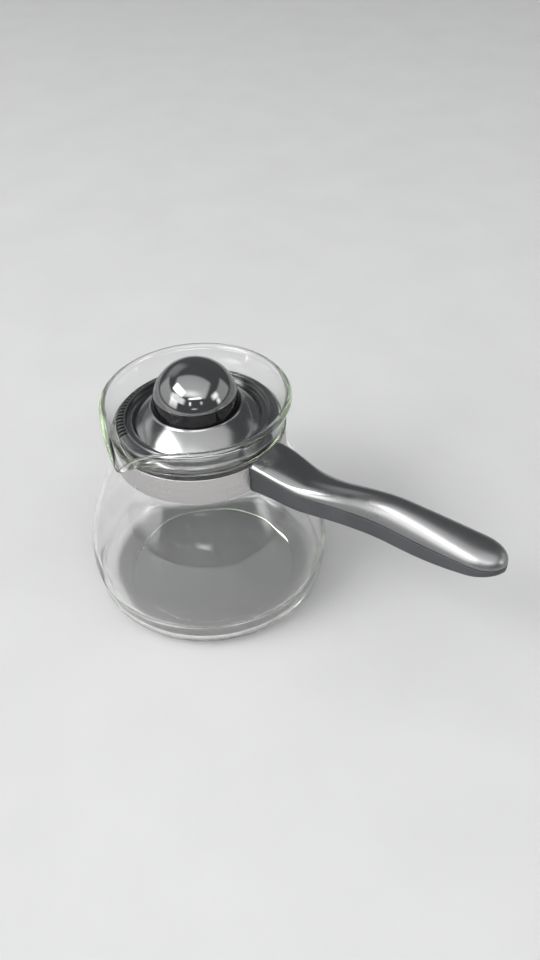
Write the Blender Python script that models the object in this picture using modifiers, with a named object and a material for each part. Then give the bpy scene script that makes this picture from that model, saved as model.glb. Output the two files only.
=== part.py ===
"""Glass cezve with a strap-held side handle and a lift-off strainer lid.

Metres, +Z up.  The origin is the middle of the flat foot of the pot, the
handle runs out along +X and the pouring lip points along -Y.
"""

import math

import bmesh
import bpy
import numpy as np
from mathutils import Matrix, Vector

# Running and seating clearances
GAP = 0.0003
LID_PLAY = 0.0009

# Glass pot, outside sizes
FOOT_RADIUS = 0.0461
HEEL_RADIUS = 0.0100
BELLY_RADIUS = 0.0575
BELLY_HEIGHT = 0.0205
BELLY_PULL = 0.0310
SHOULDER_PULL = 0.0070
NECK_RADIUS = 0.0384
NECK_BOTTOM = 0.0765
NECK_HEIGHT = 0.0145
MOUTH_RADIUS = 0.0423
FLARE_HEIGHT = 0.0155
FLARE_EASE = 0.0045
GLASS_WALL = 0.0020
LIP_BEAD = 0.0016
BEAD_FROM_DEGREES = 205
BEAD_TO_DEGREES = -25

# Pouring lip pulled out of the rim
LIP_ANGLE = math.radians(-90.0)
LIP_REACH = 0.0077
LIP_DROP = 0.0080
LIP_HALF_ANGLE = math.radians(35.0)
LIP_ROUNDING = math.radians(2.3)
LIP_FLARE_POWER = 1.7
LIP_NOTCH_POWER = 5.0

# Steel strap round the neck, with two ears that enter the handle
BAND_THICKNESS = 0.0005
BAND_HEIGHT = 0.0129
BAND_RISE = 0.0008
EAR_SPACING = 0.0030
EAR_BEND = 0.0020
EAR_LENGTH = 0.0200
EAR_HEIGHT = 0.0065
EAR_DROP = 0.0015

# Cross bolt that draws the ears together
BOLT_RADIUS = 0.0015
BOLT_STANDOUT = 0.0014
BOLT_HEAD_RADIUS = 0.0027
BOLT_HEAD_HEIGHT = 0.0021
NUT_ACROSS_FLATS = 0.0055
NUT_HEIGHT = 0.0024
CRADLE_WALL = 0.0014
CRADLE_LENGTH = 0.0076

# Handle: a trough below and a crowned cover above
HANDLE_LENGTH = 0.1112
HANDLE_WALL = 0.0018
ROOT_HALF_WIDTH = 0.0106
WAIST_HALF_WIDTH = 0.0071
GRIP_HALF_WIDTH = 0.0086
WAIST_AT = 0.40
GRIP_AT = 0.90
DIP_AT = 0.22
CREST_AT = 0.60
DIP_BELOW_ROOT = 0.0041
CREST_ABOVE_DIP = 0.0044
TIP_ABOVE_CREST = 0.0015
ROOT_CROWN = 0.0031
CREST_CROWN = 0.0086
TIP_CROWN = 0.0055
ROOT_DEPTH = 0.0135
MIDDLE_DEPTH = 0.0088
TIP_DEPTH = 0.0027
ROOT_TAPER = 2.2
TIP_THINNING = 2.8
TIP_ROUND = 0.0125
TIP_PLAN_POWER = 2.2
TIP_TOP_POWER = 3.0
CROWN_POWER = 2.0
EDGE_ROUND = 0.0020
EDGE_ROUND_MOST = 0.6
ROOT_ABOVE_BAND = -0.0003

# Screws that close the handle from below
SHELL_SCREW_AT = (0.27, 0.80)
SHELL_SCREW_RADIUS = 0.0012
SHELL_SCREW_HEAD_RADIUS = 0.0024
SHELL_SCREW_HEAD_HEIGHT = 0.0014
SHELL_SCREW_RECESS = 0.0006
POST_WALL = 0.0011

# Lid, heights measured up from the edge that rests in the mouth
LID_BELOW_RIM = 0.0120
LID_WALL = 0.0020
LID_EDGE = 0.0008
RIDGE_INSET = 0.0043
RIDGE_HEIGHT = 0.0028
RIDGE_WIDTH = 0.0007
CHANNEL_WIDTH = 0.0030
CHANNEL_HEIGHT = 0.0012
CHANNEL_SLOPE = 0.00045
FLANGE_SLOPE = 0.0004
CROWN_EDGE_HEIGHT = 0.0019
KNOB_SEAT_HEIGHT = 0.0070
SEAT_LIP_HEIGHT = 0.0008
SEAT_LIP_WIDTH = 0.0011
SEAT_LIP_FLAT = 0.0007
SKIRT_DEPTH = 0.0090
SKIRT_WALL = 0.0017

# Comb of straining teeth in the lid's edge
COMB_SLOTS = 18
COMB_PITCH = math.radians(4.0)
COMB_START = math.radians(174.5)
COMB_SLOT_WIDTH = 0.0012
COMB_FOOT = 0.0020

# Knob: a ring that stands on the lid, a dome over it and one screw
KNOB_RADIUS = 0.0192
KNOB_TAPER = 0.0008
KNOB_BASE_HEIGHT = 0.0060
KNOB_WALL = 0.0020
KNOB_FLOOR = 0.0024
KNOB_ROUND = 0.0009
DOME_HEIGHT = 0.0146
DOME_BOSS_RADIUS = 0.0048
DOME_PLUG_DEPTH = 0.0024
KNOB_SCREW_RADIUS = 0.0019
KNOB_SCREW_BITE = 0.0085
KNOB_SCREW_HEAD_RADIUS = 0.0036
KNOB_SCREW_HEAD_HEIGHT = 0.0022

# Screw drive recesses
DRIVE_WIDTH_SHARE = 0.28
DRIVE_SPAN_SHARE = 1.25
DRIVE_DEPTH_SHARE = 0.5

# Mesh fineness
POT_STEPS = 56
LID_STEPS = 48
KNOB_STEPS = 36
SMALL_SIDES = 12
BAND_STEPS = 56
HANDLE_STEPS = 22
TIP_STEPS = 6

# Heights and radii that follow from the sizes above
NECK_TOP = NECK_BOTTOM + NECK_HEIGHT
RIM_TOP = NECK_TOP + FLARE_HEIGHT
BAND_INNER = NECK_RADIUS + GAP
BAND_OUTER = BAND_INNER + BAND_THICKNESS
BAND_LOW = NECK_BOTTOM + BAND_RISE
BAND_HIGH = BAND_LOW + BAND_HEIGHT
EAR_MIDDLE = (BAND_LOW + BAND_HIGH) / 2 - EAR_DROP
EAR_OUTSIDE = EAR_SPACING / 2 + BAND_THICKNESS
EAR_BEND_X = math.sqrt((BAND_OUTER - BAND_THICKNESS / 2 + EAR_BEND) ** 2
                       - (EAR_OUTSIDE - BAND_THICKNESS / 2 + EAR_BEND) ** 2)
EAR_END = EAR_BEND_X + EAR_LENGTH
BOLT_X = EAR_BEND_X + EAR_LENGTH / 2
HANDLE_ROOT = BAND_OUTER + GAP
ROOT_PARTING = BAND_HIGH + ROOT_ABOVE_BAND
LID_SEAT = RIM_TOP - LID_BELOW_RIM


def material(name, colour, roughness, metallic=0.0, transmission=0.0):
    """A Principled material with the piece's plain colour and gloss."""
    made = bpy.data.materials.new(name)
    made.use_nodes = True
    shader = made.node_tree.nodes["Principled BSDF"]
    shader.inputs["Base Color"].default_value = (*colour, 1.0)
    shader.inputs["Roughness"].default_value = roughness
    shader.inputs["Metallic"].default_value = metallic
    shader.inputs["Transmission Weight"].default_value = transmission
    made.diffuse_color = (*colour, 1.0)
    return made


for item in list(bpy.data.objects):
    bpy.data.objects.remove(item, do_unlink=True)
PARTS = bpy.data.collections.new("glass_cezve")
CUTTERS = bpy.data.collections.new("cutters")
for group in (PARTS, CUTTERS):
    bpy.context.scene.collection.children.link(group)

GLASS = material("clear_glass", (0.93, 0.97, 0.94), 0.03, transmission=1.0)
STEEL = material("brushed_steel", (0.62, 0.60, 0.59), 0.32, metallic=1.0)
SCREW_STEEL = material("screw_steel", (0.55, 0.55, 0.56), 0.28, metallic=1.0)
GLOSS_BLACK = material("gloss_black", (0.020, 0.021, 0.023), 0.10)
MATT_BLACK = material("matt_black", (0.055, 0.058, 0.062), 0.50)


def keep_shape(item):
    """Shade an object smooth with its real edges kept sharp."""
    item.data.shade_smooth()
    item.data.set_sharp_from_angle(angle=math.radians(35))
    return item


def add_part(name, mesh, look):
    item = bpy.data.objects.new(name, mesh)
    PARTS.objects.link(item)
    mesh.name = name
    mesh.materials.clear()
    mesh.materials.append(look)
    return keep_shape(item)


def add_cutter(name, mesh):
    item = bpy.data.objects.new(name, mesh)
    CUTTERS.objects.link(item)
    item.hide_render = True
    item.display_type = 'WIRE'
    return item


def boolean(target, tool, operation):
    """Cut a tool out of a target, or join it on, with the exact solver."""
    step = target.modifiers.new(operation.lower(), 'BOOLEAN')
    step.operation = operation
    step.object = tool
    return target


def mesh_of(shape, name):
    mesh = bpy.data.meshes.new(name)
    shape.normal_update()
    shape.to_mesh(mesh)
    shape.free()
    return mesh


def box_mesh(name, low, high):
    """An upright block between two corners."""
    shape = bmesh.new()
    bmesh.ops.create_cube(shape, size=1.0)
    low, high = Vector(low), Vector(high)
    size = high - low
    place = Matrix.Translation((low + high) / 2)
    bmesh.ops.transform(shape, matrix=place @ Matrix.Diagonal((*size, 1.0)), verts=shape.verts)
    return mesh_of(shape, name)


def rod_mesh(name, radius, start, end, sides=SMALL_SIDES, top_radius=None):
    """A round bar, or a cone, between two points."""
    start, end = Vector(start), Vector(end)
    along = end - start
    turn = along.to_track_quat('Z', 'Y').to_matrix().to_4x4()
    shape = bmesh.new()
    bmesh.ops.create_cone(shape, cap_ends=True, segments=sides, radius1=radius,
                          radius2=radius if top_radius is None else top_radius,
                          depth=along.length,
                          matrix=Matrix.Translation((start + end) / 2) @ turn)
    return mesh_of(shape, name)


def joined(name, meshes):
    """Several closed shapes gathered into one mesh, for a cutter."""
    shape = bmesh.new()
    for mesh in meshes:
        shape.from_mesh(mesh)
        bpy.data.meshes.remove(mesh)
    return mesh_of(shape, name)


def profile_mesh(name, points, closed):
    """A half outline in the XZ plane, ready for a Screw modifier."""
    shape = bmesh.new()
    corners = [shape.verts.new((x, 0.0, z)) for x, z in points]
    for here, there in zip(corners, corners[1:]):
        shape.edges.new((here, there))
    if closed:
        shape.edges.new((corners[-1], corners[0]))
    return mesh_of(shape, name)


def turned(name, points, look, steps, closed):
    """A turned piece: its half outline spun once round Z."""
    item = add_part(name, profile_mesh(name, points, closed), look)
    spin = item.modifiers.new("turn", 'SCREW')
    spin.steps = steps
    spin.render_steps = steps
    spin.use_merge_vertices = True
    spin.merge_threshold = 0.00002
    spin.use_smooth_shade = True
    return item


def made_solid(item):
    """Replace an object's modifiers by the mesh that they make."""
    seen = item.evaluated_get(bpy.context.evaluated_depsgraph_get())
    mesh = bpy.data.meshes.new_from_object(seen)
    mesh.name = item.name
    item.modifiers.clear()
    item.data = mesh
    return item


def arc(centre, radius, start, end, count):
    """Points on an arc, angles in degrees from +X towards +Z."""
    angles = np.radians(np.linspace(start, end, count))
    return [(centre[0] + radius * math.cos(a), centre[1] + radius * math.sin(a)) for a in angles]


def bezier(first, pull_first, pull_last, last, count):
    """Points on a cubic Bezier curve, both ends included."""
    t = np.linspace(0.0, 1.0, count)[:, None]
    first, pull_first, pull_last, last = map(np.array, (first, pull_first, pull_last, last))
    curve = ((1 - t) ** 3 * first + 3 * (1 - t) ** 2 * t * pull_first
             + 3 * (1 - t) * t ** 2 * pull_last + t ** 3 * last)
    return [tuple(point) for point in curve]


def ease(share):
    """Half a cosine wave from 0 to 1."""
    return (1 - np.cos(np.pi * np.clip(share, 0.0, 1.0))) / 2


def pot_outline():
    """Outside of the glass as radius and height, from the foot's edge to the lip."""
    heel_top = (FOOT_RADIUS + HEEL_RADIUS, HEEL_RADIUS)
    heel = arc((FOOT_RADIUS, HEEL_RADIUS), HEEL_RADIUS, -90, 0, 5)
    rise = (BELLY_HEIGHT - HEEL_RADIUS) / 2
    lower = bezier(heel_top, (heel_top[0], HEEL_RADIUS + rise),
                   (BELLY_RADIUS, BELLY_HEIGHT - rise), (BELLY_RADIUS, BELLY_HEIGHT), 3)
    upper = bezier((BELLY_RADIUS, BELLY_HEIGHT), (BELLY_RADIUS, BELLY_HEIGHT + BELLY_PULL),
                   (NECK_RADIUS, NECK_BOTTOM - SHOULDER_PULL), (NECK_RADIUS, NECK_BOTTOM), 9)
    lip = (MOUTH_RADIUS - LIP_BEAD, RIM_TOP - LIP_BEAD)
    flare_end = (lip[0] + GLASS_WALL / 2, lip[1] - LIP_BEAD)
    flare = bezier((NECK_RADIUS, NECK_TOP), (NECK_RADIUS, NECK_TOP + FLARE_EASE),
                   (flare_end[0] - LIP_BEAD, flare_end[1] - FLARE_EASE), flare_end, 5)
    return heel + lower[1:] + upper[1:] + flare


def inside_of(outline, wall):
    """The outline moved in by the wall, square to itself."""
    points = np.array(outline)
    run = np.gradient(points, axis=0)
    run /= np.linalg.norm(run, axis=1)[:, None]
    return points + wall * np.stack([-run[:, 1], run[:, 0]], axis=1)


def mouth_radius_at(height):
    """Inside radius of the glass at a height in the neck or the flare."""
    inner = inside_of(pot_outline(), GLASS_WALL)
    above = inner[inner[:, 1] > (NECK_BOTTOM + NECK_TOP) / 2]
    return float(np.interp(height, above[:, 1], above[:, 0]))


def pull_lip(angles, heights):
    """Outward and downward move of the glass at the pouring lip.

    The lip is a rounded V in plan and a sharper notch from the side; both
    fade out down the flare, so that the neck stays round under the band.
    """
    away = np.abs((angles - LIP_ANGLE + np.pi) % (2 * np.pi) - np.pi)
    away = np.sqrt(away ** 2 + LIP_ROUNDING ** 2) - LIP_ROUNDING
    near = np.clip(1 - away / LIP_HALF_ANGLE, 0.0, 1.0)
    fade = ease((heights - NECK_TOP) / (RIM_TOP - LIP_BEAD - NECK_TOP))
    return LIP_REACH * near ** LIP_FLARE_POWER * fade, LIP_DROP * near ** LIP_NOTCH_POWER * fade


def make_pot():
    outer = pot_outline()
    inner = [tuple(p) for p in inside_of(outer, GLASS_WALL)]
    bead = arc((MOUTH_RADIUS - LIP_BEAD, RIM_TOP - LIP_BEAD), LIP_BEAD,
               BEAD_FROM_DEGREES, BEAD_TO_DEGREES, 6)
    half = [(0.0, GLASS_WALL)] + inner + bead + outer[::-1] + [(0.0, 0.0)]
    pot = made_solid(turned("glass_body", half, GLASS, POT_STEPS, closed=False))
    spots = np.array([vertex.co for vertex in pot.data.vertices])
    angles = np.arctan2(spots[:, 1], spots[:, 0])
    out, down = pull_lip(angles, spots[:, 2])
    spots[:, 0] += out * np.cos(angles)
    spots[:, 1] += out * np.sin(angles)
    spots[:, 2] -= down
    pot.data.vertices.foreach_set("co", spots.ravel())
    pot.data.update()
    return keep_shape(pot)


def band_path():
    """Plan of the strap's middle line: ear, neck, ear."""
    middle = BAND_INNER + BAND_THICKNESS / 2
    ear_y = EAR_OUTSIDE - BAND_THICKNESS / 2
    turn = math.degrees(math.atan2(ear_y + EAR_BEND, EAR_BEND_X))
    ring = arc((0.0, 0.0), middle, turn, 180, BAND_STEPS // 2)
    bend = arc((EAR_BEND_X, ear_y + EAR_BEND), EAR_BEND, 270, 180 + turn, 6)
    half = [(EAR_END, ear_y)] + bend + ring[1:]
    return half + [(x, -y) for x, y in half[-2::-1]]


def make_band():
    """A ribbon along the path, thickened, then trimmed down at the ears."""
    shape = bmesh.new()
    low = [shape.verts.new((x, y, BAND_LOW)) for x, y in band_path()]
    high = [shape.verts.new((x, y, BAND_HIGH)) for x, y in band_path()]
    for a, b, c, d in zip(low, low[1:], high[1:], high):
        shape.faces.new((a, b, c, d))
    band = add_part("neck_band", mesh_of(shape, "neck_band"), STEEL)
    wall = band.modifiers.new("thickness", 'SOLIDIFY')
    wall.thickness = BAND_THICKNESS
    wall.offset = 0.0
    wall.use_even_offset = True
    across = EAR_OUTSIDE + EAR_BEND
    over = box_mesh("over", (BAND_OUTER, -across, EAR_MIDDLE + EAR_HEIGHT / 2),
                    (EAR_END + GAP, across, BAND_HIGH + GAP))
    under = box_mesh("under", (BAND_OUTER, -across, BAND_LOW - GAP),
                     (EAR_END + GAP, across, EAR_MIDDLE - EAR_HEIGHT / 2))
    boolean(band, add_cutter("ear_trim", joined("ear_trim", [over, under])), 'DIFFERENCE')
    hole = rod_mesh("ear_hole", BOLT_RADIUS + GAP, (BOLT_X, -across, EAR_MIDDLE),
                    (BOLT_X, across, EAR_MIDDLE))
    boolean(band, add_cutter("ear_hole", hole), 'DIFFERENCE')
    return band


def cradle_side():
    """Inner and outer Y of the walls that hold the bolt beside the ears."""
    inner = EAR_OUTSIDE + GAP
    return inner, inner + CRADLE_WALL


def make_clamp():
    """The cross bolt with its slotted head, and the nut on its far end."""
    outside = cradle_side()[1] + GAP
    head_end = -outside - BOLT_HEAD_HEIGHT
    bolt = add_part("clamp_bolt", rod_mesh(
        "clamp_bolt", BOLT_RADIUS, (BOLT_X, -outside - BOLT_HEAD_HEIGHT / 2, EAR_MIDDLE),
        (BOLT_X, outside + NUT_HEIGHT + BOLT_STANDOUT, EAR_MIDDLE)), SCREW_STEEL)
    head = rod_mesh("bolt_head", BOLT_HEAD_RADIUS, (BOLT_X, head_end, EAR_MIDDLE),
                    (BOLT_X, -outside, EAR_MIDDLE))
    boolean(bolt, add_cutter("bolt_head", head), 'UNION')
    half_slot = BOLT_HEAD_RADIUS * DRIVE_WIDTH_SHARE / 2
    slot = box_mesh("bolt_slot", (BOLT_X - BOLT_HEAD_RADIUS, head_end - GAP, EAR_MIDDLE - half_slot),
                    (BOLT_X + BOLT_HEAD_RADIUS, head_end + BOLT_HEAD_HEIGHT * DRIVE_DEPTH_SHARE,
                     EAR_MIDDLE + half_slot))
    boolean(bolt, add_cutter("bolt_slot", slot), 'DIFFERENCE')
    corner = NUT_ACROSS_FLATS / 2 / math.cos(math.pi / 6)
    nut = add_part("clamp_nut", rod_mesh("clamp_nut", corner, (BOLT_X, outside, EAR_MIDDLE),
                                         (BOLT_X, outside + NUT_HEIGHT, EAR_MIDDLE), 6), SCREW_STEEL)
    bore = rod_mesh("nut_bore", BOLT_RADIUS + GAP / 2, (BOLT_X, outside - GAP, EAR_MIDDLE),
                    (BOLT_X, outside + NUT_HEIGHT + GAP, EAR_MIDDLE))
    boolean(nut, add_cutter("nut_bore", bore), 'DIFFERENCE')
    return bolt, nut


def parting_height(share):
    """Height of the line where the two shells meet, along the handle."""
    dip = ROOT_PARTING - DIP_BELOW_ROOT * ease(share / DIP_AT)
    climb = CREST_ABOVE_DIP * ease((share - DIP_AT) / (CREST_AT - DIP_AT))
    end = TIP_ABOVE_CREST * ease((share - CREST_AT) / (1 - CREST_AT))
    return dip + climb + end


def half_width(share):
    """Half width of the handle before its tip is rounded off."""
    waist = ROOT_HALF_WIDTH + (WAIST_HALF_WIDTH - ROOT_HALF_WIDTH) * ease(share / WAIST_AT)
    return waist + (GRIP_HALF_WIDTH - WAIST_HALF_WIDTH) * ease((share - WAIST_AT) / (GRIP_AT - WAIST_AT))


def crown_height(share):
    """Height of the cover over the parting line: up to the crest, then down to the tip."""
    crest = ROOT_CROWN + (CREST_CROWN - ROOT_CROWN) * ease(share / CREST_AT)
    return crest - (CREST_CROWN - TIP_CROWN) * ease((share - CREST_AT) / (1 - CREST_AT))


def shell_depth(share):
    """Depth of the trough: it tapers off the root, then thins to the tip."""
    root = (ROOT_DEPTH - MIDDLE_DEPTH) * np.clip(1 - share / WAIST_AT, 0.0, 1.0) ** ROOT_TAPER
    tip = (MIDDLE_DEPTH - TIP_DEPTH) * np.clip(2 * share - 1, 0.0, 1.0) ** TIP_THINNING
    return MIDDLE_DEPTH + root - tip


def handle_stations(start, end, tip_round):
    """Distances along the handle, closer together where the tip rounds off."""
    body = np.linspace(start, end - tip_round, HANDLE_STEPS)
    turn = np.linspace(0.0, np.pi / 2, TIP_STEPS + 1)[1:]
    return np.concatenate([body, end - tip_round + tip_round * np.sin(turn)])


def tip_share(distance, end, tip_round):
    """How much of the width and of the crown is left where the tip is rounded off."""
    into = np.clip((distance - end + tip_round) / tip_round, 0.0, 1.0)
    return math.sqrt(1 - into ** TIP_PLAN_POWER), math.sqrt(1 - into ** TIP_TOP_POWER)


def loft(name, rings):
    """A closed skin over matching rings of points, with flat ends."""
    shape = bmesh.new()
    rows = [[shape.verts.new(point) for point in ring] for ring in rings]
    for row, following in zip(rows, rows[1:]):
        for k in range(len(row)):
            n = (k + 1) % len(row)
            shape.faces.new((row[k], row[n], following[n], following[k]))
    shape.faces.new(rows[0][::-1])
    shape.faces.new(rows[-1])
    bmesh.ops.recalc_face_normals(shape, faces=shape.faces)
    return mesh_of(shape, name)


def cover_rings(inset, floor):
    """Sections of the crowned cover, moved in by the inset and down by the floor."""
    length = HANDLE_LENGTH
    rings = []
    for distance in handle_stations(-EAR_BEND - GAP, length - inset, TIP_ROUND - inset):
        share = distance / length
        plan, top = tip_share(distance, length - inset, TIP_ROUND - inset)
        wide = max((half_width(share) - inset) * plan, GAP)
        tall = max((crown_height(share) - inset) * top, GAP)
        base = parting_height(share)
        turn = np.linspace(0.0, np.pi, 11)
        across = wide * np.cos(turn)
        up = tall * np.sqrt(1 - np.abs(np.cos(turn)) ** CROWN_POWER)
        section = [(y, base + z) for y, z in zip(across, up)]
        if floor:
            section += [(-wide, base - floor), (wide, base - floor)]
        rings.append([(HANDLE_ROOT + distance, y, z) for y, z in section])
    return rings


def trough_rings(inset, lift):
    """Sections of the trough, moved in by the inset and raised at the rim by the lift."""
    length = HANDLE_LENGTH
    rings = []
    for distance in handle_stations(-EAR_BEND - GAP, length - inset, TIP_ROUND - inset):
        share = distance / length
        plan, _ = tip_share(distance, length - inset, TIP_ROUND - inset)
        wide = max((half_width(share) - inset) * plan, GAP)
        rim = parting_height(share) - GAP + lift
        floor = parting_height(share) - max(float(shell_depth(share)) - inset, 2 * GAP)
        corner = min(EDGE_ROUND, wide * EDGE_ROUND_MOST, (rim - floor) * EDGE_ROUND_MOST)
        right = arc((wide - corner, floor + corner), corner, 0, -90, 4)
        section = [(wide, rim)] + right + [(-y, z) for y, z in right[::-1]] + [(-wide, rim)]
        rings.append([(HANDLE_ROOT + distance, y, z) for y, z in section])
    return rings


def screw_places():
    """X of each closing screw, with the skin heights of the handle there."""
    for share in SHELL_SCREW_AT:
        x = HANDLE_ROOT + share * HANDLE_LENGTH
        parting = float(parting_height(share))
        yield x, parting - float(shell_depth(share)), parting + float(crown_height(share))


def hollow_cutter(name, rings):
    """The hollow of a shell, kept back from the root by an end wall."""
    start = HANDLE_ROOT + HANDLE_WALL
    kept = [ring for ring in rings if ring[0][0] > start]
    first = [(start, y, z) for _, y, z in kept[0]]
    return add_cutter(name, loft(name, [first] + kept))


def make_handle():
    """Cover and trough with their hollows, bolt cradle, posts and bosses."""
    cover = add_part("handle_top_shell", loft("cover", cover_rings(0.0, 0.0)), GLOSS_BLACK)
    trough = add_part("handle_bottom_shell", loft("trough", trough_rings(0.0, 0.0)), MATT_BLACK)
    boolean(cover, hollow_cutter("cover_hollow", cover_rings(HANDLE_WALL, EDGE_ROUND)), 'DIFFERENCE')
    boolean(trough, hollow_cutter("trough_hollow", trough_rings(HANDLE_WALL, EDGE_ROUND)), 'DIFFERENCE')

    near, far = cradle_side()
    half = CRADLE_LENGTH / 2
    share = (BOLT_X - HANDLE_ROOT) / HANDLE_LENGTH
    parting = float(parting_height(share))
    floor = parting - float(shell_depth(share)) + HANDLE_WALL / 2
    roof = parting + float(crown_height(share)) - HANDLE_WALL
    for side in (-1, 1):
        inner, outer = sorted((side * near, side * far))
        low = box_mesh("cradle", (BOLT_X - half, inner, floor), (BOLT_X + half, outer, EAR_MIDDLE - GAP))
        boolean(trough, add_cutter(f"cradle_{side}", low), 'UNION')
        high = box_mesh("keeper", (BOLT_X - half, inner, EAR_MIDDLE + GAP), (BOLT_X + half, outer, roof))
        boolean(cover, add_cutter(f"keeper_{side}", high), 'UNION')

    for index, (x, skin, crown) in enumerate(screw_places()):
        post = SHELL_SCREW_RADIUS + GAP / 2 + POST_WALL
        seat = skin + SHELL_SCREW_RECESS + SHELL_SCREW_HEAD_HEIGHT + HANDLE_WALL
        boss = rod_mesh("boss", SHELL_SCREW_HEAD_RADIUS + GAP + POST_WALL, (x, 0, skin + HANDLE_WALL / 2),
                        (x, 0, seat))
        boolean(trough, add_cutter(f"boss_{index}", boss), 'UNION')
        recess = SHELL_SCREW_RECESS + SHELL_SCREW_HEAD_HEIGHT + GAP
        sunk = rod_mesh("sunk", SHELL_SCREW_HEAD_RADIUS + GAP, (x, 0, skin - GAP), (x, 0, skin + recess))
        boolean(trough, add_cutter(f"sunk_{index}", sunk), 'DIFFERENCE')
        through = rod_mesh("through", SHELL_SCREW_RADIUS + GAP, (x, 0, skin), (x, 0, seat + GAP))
        boolean(trough, add_cutter(f"through_{index}", through), 'DIFFERENCE')
        stem = rod_mesh("post", post, (x, 0, seat + GAP), (x, 0, crown - HANDLE_WALL / 2))
        boolean(cover, add_cutter(f"post_{index}", stem), 'UNION')
        pilot = rod_mesh("pilot", SHELL_SCREW_RADIUS + GAP / 2, (x, 0, seat), (x, 0, crown - HANDLE_WALL))
        boolean(cover, add_cutter(f"pilot_{index}", pilot), 'DIFFERENCE')

    low, high = EAR_MIDDLE - EAR_HEIGHT / 2 - GAP, EAR_MIDDLE + EAR_HEIGHT / 2 + GAP
    start = HANDLE_ROOT - 2 * EAR_BEND
    beside = EAR_OUTSIDE + GAP
    flared = EAR_OUTSIDE + EAR_BEND
    ways = [rod_mesh("bolt_way", BOLT_RADIUS + GAP, (BOLT_X, -far - GAP, EAR_MIDDLE),
                     (BOLT_X, far + GAP, EAR_MIDDLE)),
            box_mesh("ear_way", (start, -beside, low), (EAR_END + GAP, beside, high)),
            box_mesh("bend_way", (start, -flared, low), (EAR_BEND_X + GAP, flared, high)),
            rod_mesh("band_way", HANDLE_ROOT, (0, 0, 0), (0, 0, RIM_TOP), BAND_STEPS)]
    for way in ways:
        tool = add_cutter(way.name, way)
        boolean(cover, tool, 'DIFFERENCE')
        boolean(trough, tool, 'DIFFERENCE')
    return cover, trough


def cross_drive(screw, x, bottom, radius, height):
    """Cut a cross into the underside of a screw's head."""
    span = radius * DRIVE_SPAN_SHARE / 2
    slim = radius * DRIVE_WIDTH_SHARE / 2
    top = bottom + height * DRIVE_DEPTH_SHARE
    for name, half_x, half_y in (("drive_long", span, slim), ("drive_cross", slim, span)):
        bar = box_mesh(name, (x - half_x, -half_y, bottom - GAP), (x + half_x, half_y, top))
        boolean(screw, add_cutter(f"{screw.name}_{name}", bar), 'DIFFERENCE')


def make_shell_screws():
    """One self-tapping screw for each post, its head sunk in the trough."""
    for index, (x, skin, crown) in enumerate(screw_places(), 1):
        bottom = skin + SHELL_SCREW_RECESS
        neck = bottom + SHELL_SCREW_HEAD_HEIGHT
        name = f"handle_screw_{index}"
        screw = add_part(name, rod_mesh(name, SHELL_SCREW_RADIUS, (x, 0, bottom + GAP),
                                        (x, 0, crown - HANDLE_WALL - GAP)), SCREW_STEEL)
        head = rod_mesh("screw_head", SHELL_SCREW_HEAD_RADIUS, (x, 0, bottom), (x, 0, neck))
        boolean(screw, add_cutter(f"screw_head_{index}", head), 'UNION')
        cross_drive(screw, x, bottom, SHELL_SCREW_HEAD_RADIUS, SHELL_SCREW_HEAD_HEIGHT)


def lid_sizes():
    """Radii of the lid: its edge, skirt, ridge, channel and knob seat."""
    edge = mouth_radius_at(LID_SEAT) - GAP
    skirt = NECK_RADIUS - GLASS_WALL - LID_PLAY
    ridge = edge - RIDGE_INSET
    channel = ridge - RIDGE_WIDTH / 2 - CHANNEL_WIDTH
    seat = KNOB_RADIUS + GAP
    return edge, skirt, ridge, channel, seat


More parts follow.
